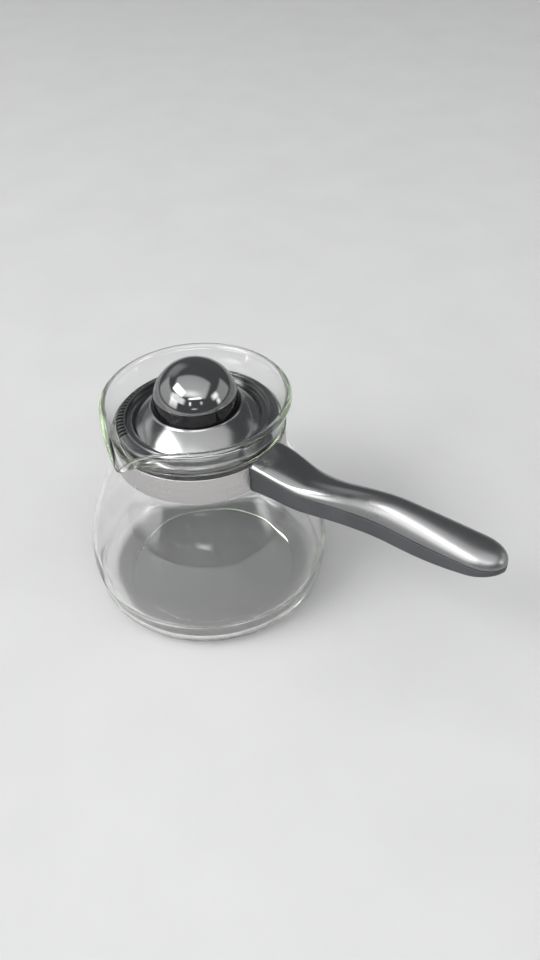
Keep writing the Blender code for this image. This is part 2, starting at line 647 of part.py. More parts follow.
def make_lid():
    """A turned dish with a skirt, then the slots of the comb cut through it."""
    edge, skirt, ridge, channel, seat = lid_sizes()
    z = LID_SEAT
    hole = KNOB_SCREW_RADIUS + GAP
    seat_top = z + KNOB_SEAT_HEIGHT
    crown_edge = z + CROWN_EDGE_HEIGHT
    crown = bezier((seat + SEAT_LIP_WIDTH, seat_top),
                   (seat + 3 * SEAT_LIP_WIDTH, seat_top - SEAT_LIP_WIDTH),
                   (channel - CHANNEL_WIDTH, crown_edge + SEAT_LIP_WIDTH), (channel, crown_edge), 6)
    under = [(x - LID_WALL / 2, y - LID_WALL) for x, y in crown[::-1]]
    low = z - SKIRT_DEPTH
    top = ([(hole, seat_top), (seat, seat_top), (seat, seat_top + SEAT_LIP_HEIGHT),
            (seat + SEAT_LIP_FLAT, seat_top + SEAT_LIP_HEIGHT)] + crown
           + [(channel + CHANNEL_SLOPE, z + CHANNEL_HEIGHT),
              (channel + CHANNEL_WIDTH, z + CHANNEL_HEIGHT),
              (ridge - RIDGE_WIDTH / 2, z + RIDGE_HEIGHT), (ridge + RIDGE_WIDTH / 2, z + RIDGE_HEIGHT),
              (edge - FLANGE_SLOPE, z + LID_EDGE + FLANGE_SLOPE), (edge, z + LID_EDGE)])
    flange = [(edge, z), (mouth_radius_at(z - LID_EDGE) - GAP, z - LID_EDGE), (skirt, z - LID_EDGE)]
    wall = [(skirt, low + LID_EDGE), (skirt - LID_EDGE / 2, low), (skirt - SKIRT_WALL, low),
            (skirt - SKIRT_WALL, z + CHANNEL_HEIGHT - LID_WALL)]
    lid = turned("lid_disc", top + flange + wall + under + [(hole, seat_top - LID_WALL)],
                 MATT_BLACK, LID_STEPS, closed=True)
    bars = []
    inner = min(skirt - SKIRT_WALL, ridge + RIDGE_WIDTH / 2) - GAP / 2
    outer_gap = edge + LID_PLAY
    for slot in range(COMB_SLOTS):
        bar = bmesh.new()
        bmesh.ops.create_cube(bar, size=1.0)
        tall = z + RIDGE_HEIGHT * 2 - (low + COMB_FOOT)
        size = Matrix.Diagonal((outer_gap - inner, COMB_SLOT_WIDTH, tall, 1.0))
        place = Matrix.Translation(((outer_gap + inner) / 2, 0, low + COMB_FOOT + tall / 2))
        turn = Matrix.Rotation(COMB_START + slot * COMB_PITCH, 4, 'Z')
        bmesh.ops.transform(bar, matrix=turn @ place @ size, verts=bar.verts)
        bars.append(mesh_of(bar, "slot"))
    boolean(lid, add_cutter("comb_slots", joined("comb_slots", bars)), 'DIFFERENCE')
    return lid


def make_knob():
    """Ring, dome and the screw that comes up through the lid into the dome."""
    foot = LID_SEAT + KNOB_SEAT_HEIGHT + GAP
    top = foot + KNOB_BASE_HEIGHT
    hole = KNOB_SCREW_RADIUS + GAP
    rim = KNOB_RADIUS - KNOB_TAPER
    bore = rim - KNOB_WALL
    ring = [(hole, foot + KNOB_FLOOR), (bore, foot + KNOB_FLOOR), (bore, top), (rim, top)]
    ring += arc((KNOB_RADIUS - KNOB_ROUND, foot + KNOB_ROUND), KNOB_ROUND, 0, -90, 3) + [(hole, foot)]
    base = turned("knob_base", ring, GLOSS_BLACK, KNOB_STEPS, closed=True)

    seam = top + GAP
    sphere = (rim ** 2 + DOME_HEIGHT ** 2) / (2 * DOME_HEIGHT)
    middle = seam + DOME_HEIGHT - sphere
    start = math.degrees(math.asin((seam - middle) / sphere))
    outside = arc((0.0, middle), sphere, 90, start, 9)
    plug = bore - GAP
    inner = plug - KNOB_WALL
    hollow = sphere - KNOB_WALL
    inner_start = math.degrees(math.acos(inner / hollow))
    inner_end = math.degrees(math.acos(DOME_BOSS_RADIUS / hollow))
    inside = arc((0.0, middle), hollow, inner_start, inner_end, 5)
    boss_low = foot + KNOB_FLOOR + GAP
    bite_top = foot + KNOB_FLOOR + KNOB_SCREW_BITE + GAP
    plug_low = seam - DOME_PLUG_DEPTH
    dome_line = ([(0.0, seam + DOME_HEIGHT)] + outside[1:]
                 + [(plug, seam), (plug, plug_low), (inner, plug_low)] + inside
                 + [(DOME_BOSS_RADIUS, boss_low), (hole, boss_low), (hole, bite_top), (0.0, bite_top)])
    dome = turned("knob_cap", dome_line, GLOSS_BLACK, KNOB_STEPS, closed=False)

    under = LID_SEAT + KNOB_SEAT_HEIGHT - LID_WALL - GAP
    screw = add_part("knob_screw", rod_mesh("knob_screw", KNOB_SCREW_RADIUS,
                                            (0, 0, under - KNOB_SCREW_HEAD_HEIGHT / 2),
                                            (0, 0, bite_top - GAP)), SCREW_STEEL)
    head = rod_mesh("knob_screw_head", KNOB_SCREW_HEAD_RADIUS,
                    (0, 0, under - KNOB_SCREW_HEAD_HEIGHT), (0, 0, under), SMALL_SIDES + 8)
    boolean(screw, add_cutter("knob_screw_head", head), 'UNION')
    bottom = under - KNOB_SCREW_HEAD_HEIGHT
    cross_drive(screw, 0.0, bottom, KNOB_SCREW_HEAD_RADIUS, KNOB_SCREW_HEAD_HEIGHT)
    return base, dome, screw


make_pot()
make_band()
make_clamp()
make_handle()
make_shell_screws()
make_lid()
make_knob()
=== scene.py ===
"""Looks of a glass cezve: glass pot, steel neck strap, black handle, straining lid and knob.

Metres, +Z up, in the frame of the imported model: the pot stands on z = 0, the handle runs out
along +X and the pouring lip points along -Y.  Every new piece is a surface of two parameters,
worked out as whole arrays, and stands for the plain node that it replaces.
"""

from __future__ import annotations

import logging
import math
from collections.abc import Sequence
from dataclasses import dataclass, field
from enum import Enum

import bmesh
import bpy
import numpy as np
from mathutils import Matrix, Vector


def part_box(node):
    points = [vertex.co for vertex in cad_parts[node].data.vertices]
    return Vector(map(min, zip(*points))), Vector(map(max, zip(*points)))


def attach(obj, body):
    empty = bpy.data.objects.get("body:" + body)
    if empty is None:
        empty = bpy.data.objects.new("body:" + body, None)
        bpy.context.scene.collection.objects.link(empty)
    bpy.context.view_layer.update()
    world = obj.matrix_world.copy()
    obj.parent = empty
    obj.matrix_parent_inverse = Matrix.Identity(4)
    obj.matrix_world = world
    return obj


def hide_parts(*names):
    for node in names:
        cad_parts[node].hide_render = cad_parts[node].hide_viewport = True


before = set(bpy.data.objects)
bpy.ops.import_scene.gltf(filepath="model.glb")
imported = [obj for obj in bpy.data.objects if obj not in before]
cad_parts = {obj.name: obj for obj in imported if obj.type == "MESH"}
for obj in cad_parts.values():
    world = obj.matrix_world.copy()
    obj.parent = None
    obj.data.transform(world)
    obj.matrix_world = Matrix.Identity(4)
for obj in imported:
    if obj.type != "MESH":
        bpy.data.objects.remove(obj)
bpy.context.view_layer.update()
LOG = logging.getLogger("cezve")

Array = np.ndarray
Triple = tuple[float, float, float]
Colour = Triple

# Clearance between pieces, distance under which two points are one, and the angle from which an
# edge is sharp.
GAP = 0.0003
WELD = 0.000001
SHARP = math.radians(32)

# Shares of a noise at and past which a value that follows it stands still.
NOISE_LOW = 0.3
NOISE_HIGH = 0.7


class Look(Enum):
    """Finishes of the pieces, each with the record's material slot that it belongs to."""

    GLASS = ("pot", "glass")
    STRAP = ("strap", "band_steel")
    SCREWS = ("screws", "screw_steel")
    DOME = ("knob dome", "gloss_black")
    RING = ("knob ring", "gloss_black")
    COVER = ("handle cover", "gloss_black")
    TROUGH = ("handle trough", "matt_black")
    LID = ("lid", "lid_black")


class Body(Enum):
    """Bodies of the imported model."""

    POT = "pot"
    KNOB = "knob"
    LID = "lid"


class Wiring:
    """Adds the nodes of one material or lamp and joins them up."""

    def __init__(self, owner: bpy.types.Material | bpy.types.Light) -> None:
        """Turn the owner's nodes on.

        Args:
            owner: material or lamp whose nodes these are.
        """
        owner.use_nodes = True
        self.tree = owner.node_tree

    def add(self, kind: str, inputs: dict[str | int, object], **settings: object) -> bpy.types.Node:
        """Add one node.

        Args:
            kind: node type without its "ShaderNode" beginning.
            inputs: value or source socket of each named input.
            settings: properties of the node itself.

        Returns:
            The new node.
        """
        node = self.tree.nodes.new("ShaderNode" + kind)
        for key, value in settings.items():
            setattr(node, key, value)
        self.set(node, inputs)
        return node

    def set(self, node: bpy.types.Node | str, inputs: dict[str | int, object]) -> None:
        """Give a node's inputs their values or their links.

        Args:
            node: node whose inputs are set, or its name.
            inputs: value or source socket of each named input.
        """
        node = self.tree.nodes[node] if isinstance(node, str) else node
        for key, value in inputs.items():
            if isinstance(value, bpy.types.NodeSocket):
                self.tree.links.new(value, node.inputs[key])
            else:
                node.inputs[key].default_value = value

    def place(self) -> bpy.types.NodeSocket:
        """Place on the piece, in its own axes."""
        return self.add("TexCoord", {}).outputs["Object"]

    def noise(self, size: float, detail: float = 2.0,
              stretch: Triple = (1.0, 1.0, 1.0)) -> bpy.types.NodeSocket:
        """Noise fixed to the piece.

        Args:
            size: rough size of one blotch, in metres.
            detail: octaves of finer noise.
            stretch: how many times longer the blotches are along each axis.

        Returns:
            Socket that runs from 0 to 1.
        """
        scale = tuple(1.0 / (size * longer) for longer in stretch)
        moved = self.add("Mapping", {"Vector": self.place(), "Scale": scale}).outputs[0]
        return self.add("TexNoise", {"Vector": moved, "Scale": 1.0, "Detail": detail}).outputs[0]

    def between(self, share: bpy.types.NodeSocket, low: float, high: float) -> bpy.types.NodeSocket:
        """Spread a noise's middle part between two values.

        Args:
            share: socket from 0 to 1.
            low: value where the noise is low.
            high: value where the noise is high.

        Returns:
            Socket with the spread value.
        """
        return self.add("MapRange", {"Value": share, "From Min": NOISE_LOW, "From Max": NOISE_HIGH,
                                     "To Min": low, "To Max": high}).outputs[0]

    def tint(self, share: bpy.types.NodeSocket, low: Colour, high: Colour) -> bpy.types.NodeSocket:
        """Blend two colours by a noise.

        Args:
            share: socket from 0 to 1.
            low: colour where the noise is low.
            high: colour where the noise is high.

        Returns:
            Socket with the blended colour.
        """
        ramp = self.add("ValToRGB", {"Fac": share})
        stops = ramp.color_ramp.elements
        for index, (position, colour) in enumerate([(NOISE_LOW, low), (NOISE_HIGH, high)]):
            stops[index].position = position
            stops[index].color = (*colour, 1.0)
        return ramp.outputs["Color"]

    def bump(self, height: bpy.types.NodeSocket, depth: float,
             over: bpy.types.NodeSocket | None = None) -> bpy.types.NodeSocket:
        """Raise the surface by a height socket.

        Args:
            height: socket from 0 to 1.
            depth: real depth of the relief, in metres.
            over: normal of a coarser relief that this one lies on.

        Returns:
            Socket with the bent normal.
        """
        inputs = {"Height": height, "Distance": depth, "Strength": 1.0}
        if over is not None:
            inputs["Normal"] = over
        return self.add("Bump", inputs).outputs[0]


@dataclass(frozen=True)
class Finish:
    """A named material, wired by each kind of finish in its own way."""

    name: str

    def wire(self, wiring: Wiring) -> None:
        """Wire the shader, which each kind of finish does for itself."""
        raise NotImplementedError

    def material(self) -> bpy.types.Material:
        """Make a material of this finish.

        Returns:
            The new material.
        """
        material = bpy.data.materials.new(self.name)
        self.wire(Wiring(material))
        return material


@dataclass(frozen=True)
class GlassFinish(Finish):
    """Clear heat-proof glass that shows green only where the eye looks along the wall."""

    ior: float = 1.49
    absorbed: Colour = (0.50, 0.86, 0.16)
    density: float = 2.0
    draw_length: float = 0.030
    draw_stretch: Triple = (1.0, 1.0, 0.5)
    draw_depth: float = 0.000012

    def wire(self, wiring: Wiring) -> None:
        """Transmission with a faint draw in the surface and an absorbing volume.

        Args:
            wiring: nodes of the material.
        """
        draw = wiring.noise(self.draw_length, 1.0, self.draw_stretch)
        wiring.set("Principled BSDF", {
            "Base Color": (1.0, 1.0, 1.0, 1.0), "Roughness": 0.0, "IOR": self.ior,
            "Transmission Weight": 1.0, "Normal": wiring.bump(draw, self.draw_depth)})
        volume = wiring.add("VolumeAbsorption", {"Color": (*self.absorbed, 1.0), "Density": self.density})
        wiring.set("Material Output", {"Volume": volume.outputs[0]})


@dataclass(frozen=True)
class SteelFinish(Finish):
    """Steel with fine lines along it and a slow change of tone."""

    dark: Colour
    light: Colour
    roughness: tuple[float, float]
    line_size: float
    line_stretch: Triple
    line_depth: float
    spread: float = 0.0
    cloud_size: float = 0.012

    def wire(self, wiring: Wiring) -> None:
        """Metal whose lines change its tone and relief, with clouds of gloss and highlights spread round Z.

        Args:
            wiring: nodes of the material.
        """
        turned = wiring.add("VectorMath", {0: (0.0, 0.0, 1.0), 1: wiring.place()}, operation='CROSS_PRODUCT')
        lines = wiring.noise(self.line_size, 3.0, self.line_stretch)
        clouds = wiring.noise(self.cloud_size)
        wiring.set("Principled BSDF", {
            "Base Color": wiring.tint(lines, self.dark, self.light), "Metallic": 1.0,
            "Roughness": wiring.between(clouds, *self.roughness), "Anisotropic": self.spread,
            "Tangent": turned.outputs[0], "Normal": wiring.bump(lines, self.line_depth)})


@dataclass(frozen=True)
class PlasticFinish(Finish):
    """Moulded black plastic, from polished to fine matt."""

    dark: Colour
    light: Colour
    roughness: tuple[float, float]
    ior: float
    grain_size: float
    grain_depth: float
    flow_depth: float
    coat: float = 0.0
    coat_roughness: float = 0.06
    wear: float = 0.0
    wear_from: float = 0.0
    wear_to: float = 1.0
    flow_size: float = 0.014
    cloud_size: float = 0.006

    def wire(self, wiring: Wiring) -> None:
        """Plastic with a fine grain over the slow waves of its moulding, duller where it is held.

        The wear grows along X between two places and is added to the roughness.

        Args:
            wiring: nodes of the material.
        """
        flow = wiring.noise(self.flow_size, 1.0)
        grain = wiring.noise(self.grain_size, 2.0)
        waves = wiring.bump(flow, self.flow_depth)
        along = wiring.add("SeparateXYZ", {0: wiring.place()}).outputs["X"]
        held = wiring.add("MapRange", {"Value": along, "From Min": self.wear_from, "From Max": self.wear_to,
                                       "To Min": 0.0, "To Max": self.wear}).outputs[0]
        gloss = wiring.between(wiring.noise(self.cloud_size, 3.0), *self.roughness)
        wiring.set("Principled BSDF", {
            "Base Color": wiring.tint(flow, self.dark, self.light),
            "Roughness": wiring.add("Math", {0: gloss, 1: held}, operation='ADD').outputs[0],
            "IOR": self.ior, "Normal": wiring.bump(grain, self.grain_depth, waves),
            "Coat Weight": self.coat, "Coat Roughness": self.coat_roughness, "Coat Normal": waves})


@dataclass(frozen=True)
class FloorFinish(Finish):
    """Plain pale paper."""

    dark: Colour = (0.51, 0.51, 0.51)
    light: Colour = (0.53, 0.53, 0.53)
    mottle_size: float = 0.05
    roughness: float = 0.9
    shine: float = 0.1

    def wire(self, wiring: Wiring) -> None:
        """Matt paper with a hardly visible mottle.

        Args:
            wiring: nodes of the material.
        """
        mottle = wiring.noise(self.mottle_size)
        wiring.set("Principled BSDF", {"Base Color": wiring.tint(mottle, self.dark, self.light),
                                       "Roughness": self.roughness, "Specular IOR Level": self.shine})


FINISHES: dict[Look, Finish] = {
    Look.GLASS: GlassFinish("clear_glass"),
    Look.STRAP: SteelFinish(
        "brushed_steel", dark=(0.51, 0.495, 0.495), light=(0.60, 0.58, 0.575), roughness=(0.24, 0.32),
        line_size=0.00018, line_stretch=(160.0, 160.0, 1.0), line_depth=0.000002, spread=0.75),
    Look.SCREWS: SteelFinish(
        "screw_steel", dark=(0.48, 0.48, 0.49), light=(0.60, 0.60, 0.61), roughness=(0.22, 0.34),
        line_size=0.0004, line_stretch=(1.0, 1.0, 1.0), line_depth=0.000004),
    Look.DOME: PlasticFinish(
        "dome_gloss_black", dark=(0.010, 0.011, 0.012), light=(0.015, 0.016, 0.017), roughness=(0.04, 0.08),
        ior=2.55, grain_size=0.0006, grain_depth=0.0000004, flow_depth=0.000012),
    # The knob ring's finish is a darker, less reflective copy of the dome's gloss black: painted shade that
    # stands in for the dark surroundings the ring reflects.
    Look.RING: PlasticFinish(
        "ring_black_painted_shade", dark=(0.003, 0.003, 0.004), light=(0.005, 0.005, 0.006), roughness=(0.08, 0.14),
        ior=1.42, grain_size=0.0006, grain_depth=0.0000006, flow_depth=0.000012),
    Look.COVER: PlasticFinish(
        "cover_satin_black", dark=(0.008, 0.009, 0.010), light=(0.013, 0.014, 0.015), roughness=(0.18, 0.24),
        ior=2.75, grain_size=0.0005, grain_depth=0.0000009, flow_depth=0.000014,
        coat=0.4, coat_roughness=0.06, wear=0.14, wear_from=0.084, wear_to=0.110),
    Look.TROUGH: PlasticFinish(
        "trough_matt_black", dark=(0.036, 0.039, 0.043), light=(0.048, 0.051, 0.055), roughness=(0.46, 0.56),
        ior=1.5, grain_size=0.00025, grain_depth=0.000006, flow_depth=0.000004),
    Look.LID: PlasticFinish(
        "lid_satin_black", dark=(0.008, 0.009, 0.010), light=(0.013, 0.014, 0.015), roughness=(0.11, 0.17),
        ior=2.8, grain_size=0.0004, grain_depth=0.0000005, flow_depth=0.000014),
}


def circle_arc(centre: Sequence[float], radius: float, start: float, end: float, count: int) -> Array:
    """Points on a circle: centre + radius * (cos a, sin a).

    Args:
        centre: middle of the circle.
        radius: its radius.
        start: first angle in degrees.
        end: last angle in degrees.
        count: number of points.

    Returns:
        Array of shape (count, 2).
    """
    angles = np.radians(np.linspace(start, end, count))
    return np.asarray(centre) + radius * np.stack([np.cos(angles), np.sin(angles)], axis=1)


def cubic(ends: Sequence[Sequence[float]], count: int) -> Array:
    """Cubic Bezier curve: the Bernstein mean of four points.

    Args:
        ends: first point, its pull, the last point's pull and the last point.
        count: number of points, both ends included.

    Returns:
        Array of shape (count, 2).
    """
    t = np.linspace(0.0, 1.0, count)[:, None]
    weights = np.hstack([(1 - t) ** 3, 3 * (1 - t) ** 2 * t, 3 * (1 - t) * t ** 2, t ** 3])
    return weights @ np.asarray(ends, dtype=float)


def rounded(corners: Sequence[Sequence[float]], steps: int = 6) -> Array:
    """Closed outline with rounded corners.

    Each corner gives way to a quadratic curve that leaves both sides at the corner's own
    distance, or at half of the shorter side, and is pulled to the corner.

    Args:
        corners: x, y and rounding distance of each corner, in order round the outline.
        steps: points on each rounding.

    Returns:
        Array of shape (points, 2) with repeated points taken out.
    """
    table = np.asarray(corners, dtype=float)
    spots = table[:, :2]
    before, after = np.roll(spots, 1, axis=0) - spots, np.roll(spots, -1, axis=0) - spots
    back = np.linalg.norm(before, axis=1)[:, None]
    ahead = np.linalg.norm(after, axis=1)[:, None]
    reach = np.minimum(table[:, 2:], np.minimum(back, ahead) / 2)
    first = spots + before / back * reach
    last = spots + after / ahead * reach
    t = np.linspace(0.0, 1.0, steps)[None, :, None]
    curve = (1 - t) ** 2 * first[:, None] + 2 * t * (1 - t) * spots[:, None] + t ** 2 * last[:, None]
    points = curve.reshape(-1, 2)
    apart = np.linalg.norm(points - np.roll(points, 1, axis=0), axis=1)
    return points[apart > WELD]


def ease(share: Array) -> Array:
    """Half a cosine wave: (1 - cos(pi * share)) / 2, held at 0 and 1 outside."""
    return (1 - np.cos(np.pi * np.clip(share, 0.0, 1.0))) / 2


def polar(radius: Array | float, angles: Array, height: Array | float) -> Array:
    """Points round Z from radius, angle and height: (r cos a, r sin a, z)."""
    return np.stack(np.broadcast_arrays(radius * np.cos(angles), radius * np.sin(angles), height), axis=-1)


def square_to(line: Array) -> Array:
    """Unit vectors square to a flat line, on its left: its run turned by a quarter turn.

    Args:
        line: points of the line, of shape (count, 2).

    Returns:
        Array of the same shape.
    """
    run = np.gradient(line, axis=0)
    run /= np.linalg.norm(run, axis=1)[:, None]
    return np.stack([-run[:, 1], run[:, 0]], axis=1)


@dataclass
class Patch:
    """A surface of two parameters as a grid of points, rows by columns by 3."""

    points: Array
    rows_close: bool = False
    columns_close: bool = False

    def faces(self) -> Array:
        """Quads between neighbouring grid points.

        Returns:
            Indices into the flat grid, of shape (faces, 4).
        """
        rows, columns = self.points.shape[:2]
        index = np.arange(rows * columns).reshape(rows, columns)
        if self.rows_close:
            index = np.vstack([index, index[:1]])
        if self.columns_close:
            index = np.hstack([index, index[:, :1]])
        corners = [index[:-1, :-1], index[:-1, 1:], index[1:, 1:], index[1:, :-1]]
        return np.stack(corners, axis=-1).reshape(-1, 4)

    def moved(self, place: Matrix) -> Patch:
        """The patch turned and moved by a matrix."""
        matrix = np.array(place)
        return Patch(self.points @ matrix[:3, :3].T + matrix[:3, 3], self.rows_close, self.columns_close)


def spun(outline: Array, steps: int, closed: bool = True) -> Patch:
    """Outline of radius and height turned about Z: (r cos a, r sin a, z).

    Args:
        outline: radius and height of each point.
        steps: points round the turn.
        closed: whether the outline's last point joins its first.

    Returns:
        The turned patch.
    """
    angles = np.linspace(0.0, 2 * np.pi, steps, endpoint=False)
    return Patch(polar(outline[:, :1], angles, outline[:, 1:]), rows_close=closed, columns_close=True)


def block(one: Sequence[float], other: Sequence[float]) -> Patch:
    """Upright block between two corners: a square outline with its two ends drawn in to a point.

    Args:
        one: a corner of the block.
        other: the corner across from it.

    Returns:
        Closed patch of four rows.
    """
    low, high = np.minimum(one, other), np.maximum(one, other)
    outline = np.array([(0, 0), (1, 0), (1, 1), (0, 1)], float) * (high - low)[:2] + low[:2]
    middle = np.broadcast_to((low + high)[:2] / 2, outline.shape)
    plan = np.stack([middle, outline, outline, middle])
    heights = np.array([low[2], low[2], high[2], high[2]])[:, None, None]
    return Patch(np.concatenate([plan, heights + np.zeros((4, 4, 1))], axis=2), columns_close=True)


def rod(radius: float, start: Sequence[float], end: Sequence[float], steps: int = 48) -> Patch:
    """Round bar between two points, its ends closed at the middle.

    Args:
        radius: radius of the bar.
        start: middle of its first end.
        end: middle of its last end.
        steps: points round it.

    Returns:
        Closed patch.
    """
    along = Vector(end) - Vector(start)
    outline = np.array([(0.0, 0.0), (radius, 0.0), (radius, along.length), (0.0, along.length)])
    place = Matrix.Translation(start) @ along.to_track_quat('Z', 'Y').to_matrix().to_4x4()
    return spun(outline, steps, closed=False).moved(place)


def sewn(name: str, patches: Sequence[Patch]) -> bpy.types.Object:
    """Join patches into one object, with seams and poles closed and faces pointing out.

    Args:
        name: name of the new object.
        patches: closed surfaces that make it up.

    Returns:
        The new object, linked to the scene.
    """
    sizes = [patch.points.shape[0] * patch.points.shape[1] for patch in patches]
    starts = np.concatenate([[0], np.cumsum(sizes)[:-1]]).astype(int)
    points = np.concatenate([patch.points.reshape(-1, 3) for patch in patches])
    faces = np.concatenate([patch.faces() + start for patch, start in zip(patches, starts)])
    mesh = bpy.data.meshes.new(name)
    mesh.from_pydata(points.tolist(), [], faces.tolist())
    shape = bmesh.new()
    shape.from_mesh(mesh)
    bmesh.ops.remove_doubles(shape, verts=shape.verts, dist=WELD)
    bmesh.ops.recalc_face_normals(shape, faces=shape.faces)
    shape.to_mesh(mesh)
    shape.free()
    piece = bpy.data.objects.new(name, mesh)
    bpy.context.scene.collection.objects.link(piece)
    return piece


def worked(piece: bpy.types.Object, steps: Sequence[tuple[str, Sequence[Patch]]]) -> bpy.types.Object:
    """Join tools to a piece or cut them out of it, and keep the result as its mesh.

    Args:
        piece: object that is worked.
        steps: boolean operation and the patches of its tool, in order.

    Returns:
        The same object.
    """
    tools = []
    for operation, patches in steps:
        tool = sewn("tool", patches)
        step = piece.modifiers.new(operation.lower(), 'BOOLEAN')
        step.operation = operation
        step.object = tool
        tools.append(tool)
    seen = piece.evaluated_get(bpy.context.evaluated_depsgraph_get())
    mesh = bpy.data.meshes.new_from_object(seen)
    piece.modifiers.clear()
    piece.data = mesh
    for tool in tools:
        bpy.data.objects.remove(tool, do_unlink=True)
    return piece


def dressed(piece: bpy.types.Object, look: Look, body: Body, *nodes: str) -> bpy.types.Object:
    """Give a piece its finish and its body, and hide the plain nodes that it stands for.

    Args:
        piece: finished object.
        look: its finish.
        body: body that it moves with.
        nodes: plain nodes that it replaces.

    Returns:
        The same object.
    """
    piece.data.shade_smooth()
    piece.data.set_sharp_from_angle(angle=SHARP)
    piece.data.materials.clear()
    piece.data.materials.append(MATERIALS[look])
    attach(piece, body.value)
    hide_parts(*nodes)
    LOG.info("%s: %d faces, on %s", piece.name, len(piece.data.polygons), body.value)
    return piece


MATERIALS = {look: finish.material() for look, finish in FINISHES.items()}


@dataclass
class GlassPot:
    """Blown glass pot with a beaded rim and a pouring lip pulled out of it.

    Each wall, from the base up, stands at its own distance past the middle of the heel, along the
    wall.  Each ripple has its swing, its waves round the pot, its turn with height and its start.
    Each base wave has its swing, then the turns along X and Y and the start of a sine and a cosine.
    """

    foot_radius: float = 0.0461
    foot_hollow: float = 0.0005
    foot_ring: float = 0.0402
    foot_step: float = 0.0014
    heel_radius: float = 0.0100
    belly_radius: float = 0.0575
    belly_height: float = 0.0205
    belly_pull: float = 0.0310
    shoulder_pull: float = 0.0070
    neck_radius: float = 0.0384
    neck_bottom: float = 0.0765
    neck_top: float = 0.0910
    mouth_radius: float = 0.0423
    rim_top: float = 0.1065
    flare_ease: float = 0.0045
    bead: float = 0.0016
    base_wall: float = 0.0022
    heel_wall: float = 0.0027
    heel_end_wall: float = 0.0025
    side_wall: float = 0.0019
    neck_wall: float = 0.0020
    wall_at: tuple[float, ...] = (-0.011, 0.0, 0.010, 0.030, 0.082)
    bead_arc: tuple[float, float] = (205.0, -25.0)
    lip_angle: float = math.radians(-90.0)
    lip_reach: float = 0.0077
    lip_drop: float = 0.0080
    lip_half_angle: float = math.radians(35.0)
    lip_rounding: float = math.radians(2.3)
    lip_flare_power: float = 1.7
    lip_notch_power: float = 5.0
    roll: float = 0.0011
    roll_height: float = 0.0922
    roll_arc: tuple[float, float] = (-88.0, 84.0)
    ripple_waves: tuple[tuple[float, int, float, float], ...] = (
        (0.00010, 3, 50.0, 0.4), (0.00006, 7, -90.0, 1.3), (0.00004, 13, 120.0, 4.0),
        (0.000018, 22, -190.0, 2.2), (0.000007, 31, 240.0, 5.1))
    base_waves: tuple[tuple[float, Triple, Triple], ...] = (
        (0.00008, (310.0, 0.0, 0.7), (60.0, 270.0, -1.1)),
        (0.00002, (620.0, 180.0, 0.0), (-90.0, 540.0, 0.0)))
    foot_rows: int = 10
    step_rows: int = 9
    steps: int = 288

    def outside(self) -> Array:
        """Outer wall, from the middle of the foot up to the bead.

        The foot is hollow inside a soft step, the heel is a quarter circle, and the belly, the
        shoulder and the flare are cubic curves.

        Returns:
            Radius and height of each point.
        """
        step = self.foot_ring + self.foot_step * np.linspace(0.0, 1.0, self.step_rows)
        radius = np.concatenate([np.linspace(0.0, self.foot_ring, self.foot_rows)[:-1], step])
        height = self.foot_hollow * (1 - ease((radius - self.foot_ring) / self.foot_step))
        foot = np.stack([radius, height], axis=1)
        heel = circle_arc((self.foot_radius, self.heel_radius), self.heel_radius, -90, 0, count=20)
        heel_top = (self.foot_radius + self.heel_radius, self.heel_radius)
        rise = (self.belly_height - self.heel_radius) / 2
        belly = (self.belly_radius, self.belly_height)
        lower = cubic([heel_top, (heel_top[0], heel_top[1] + rise),
                       (belly[0], belly[1] - rise), belly], count=10)
        neck = (self.neck_radius, self.neck_bottom)
        upper = cubic([belly, (belly[0], belly[1] + self.belly_pull),
                       (neck[0], neck[1] - self.shoulder_pull), neck], count=64)
        lip = (self.mouth_radius - self.bead, self.rim_top - self.bead)
        end = (lip[0] + self.neck_wall / 2, lip[1] - self.bead)
        flare = cubic([(self.neck_radius, self.neck_top), (self.neck_radius, self.neck_top + self.flare_ease),
                       (end[0] - self.bead, end[1] - self.flare_ease), end], count=44)
        return np.vstack([foot, heel, lower[1:], upper[1:], flare])

    def rolled(self, outside: Array) -> Array:
        """Put a half-round roll over the strap in place of the wall's own points there.

        Args:
            outside: radius and height of the outer wall.

        Returns:
            The wall with its roll.
        """
        near = np.abs(outside[:, 1] - self.roll_height) < self.roll
        rows = np.flatnonzero(near & (outside[:, 0] < self.mouth_radius))
        centre = (np.interp(self.roll_height, outside[rows, 1], outside[rows, 0]), self.roll_height)
        roll = circle_arc(centre, self.roll, *self.roll_arc, count=17)
        return np.vstack([outside[:rows[0]], roll, outside[rows[-1] + 1:]])

    def inside(self, outside: Array) -> Array:
        """Move the outer wall in, square to itself, by a wall that is thickest at the heel.

        Args:
            outside: radius and height of the outer wall.

        Returns:
            Radius and height of the inner wall.
        """
        length = np.concatenate([[0.0], np.cumsum(np.linalg.norm(np.diff(outside, axis=0), axis=1))])
        heel = self.foot_radius + self.heel_radius / 2
        walls = [self.base_wall, self.heel_wall, self.heel_end_wall, self.side_wall, self.neck_wall]
        wall = np.interp(length, [heel + past for past in self.wall_at], walls)[:, None]
        return outside + wall * square_to(outside)

    def lip(self, angles: Array, heights: Array) -> tuple[Array, Array]:
        """Outward and downward move of the glass at the pouring lip.

        The move falls off with the angle from the lip as a power of what is left of the half
        angle, and fades down the flare, so that the neck stays round under the strap.

        Args:
            angles: angle of each point about Z.
            heights: height of each point.

        Returns:
            Outward and downward moves.
        """
        away = np.abs((angles - self.lip_angle + np.pi) % (2 * np.pi) - np.pi)
        away = np.sqrt(away ** 2 + self.lip_rounding ** 2) - self.lip_rounding
        near = np.clip(1 - away / self.lip_half_angle, 0.0, 1.0)
        fade = ease((heights - self.neck_top) / (self.rim_top - self.bead - self.neck_top))
        return (self.lip_reach * near ** self.lip_flare_power * fade,
                self.lip_drop * near ** self.lip_notch_power * fade)

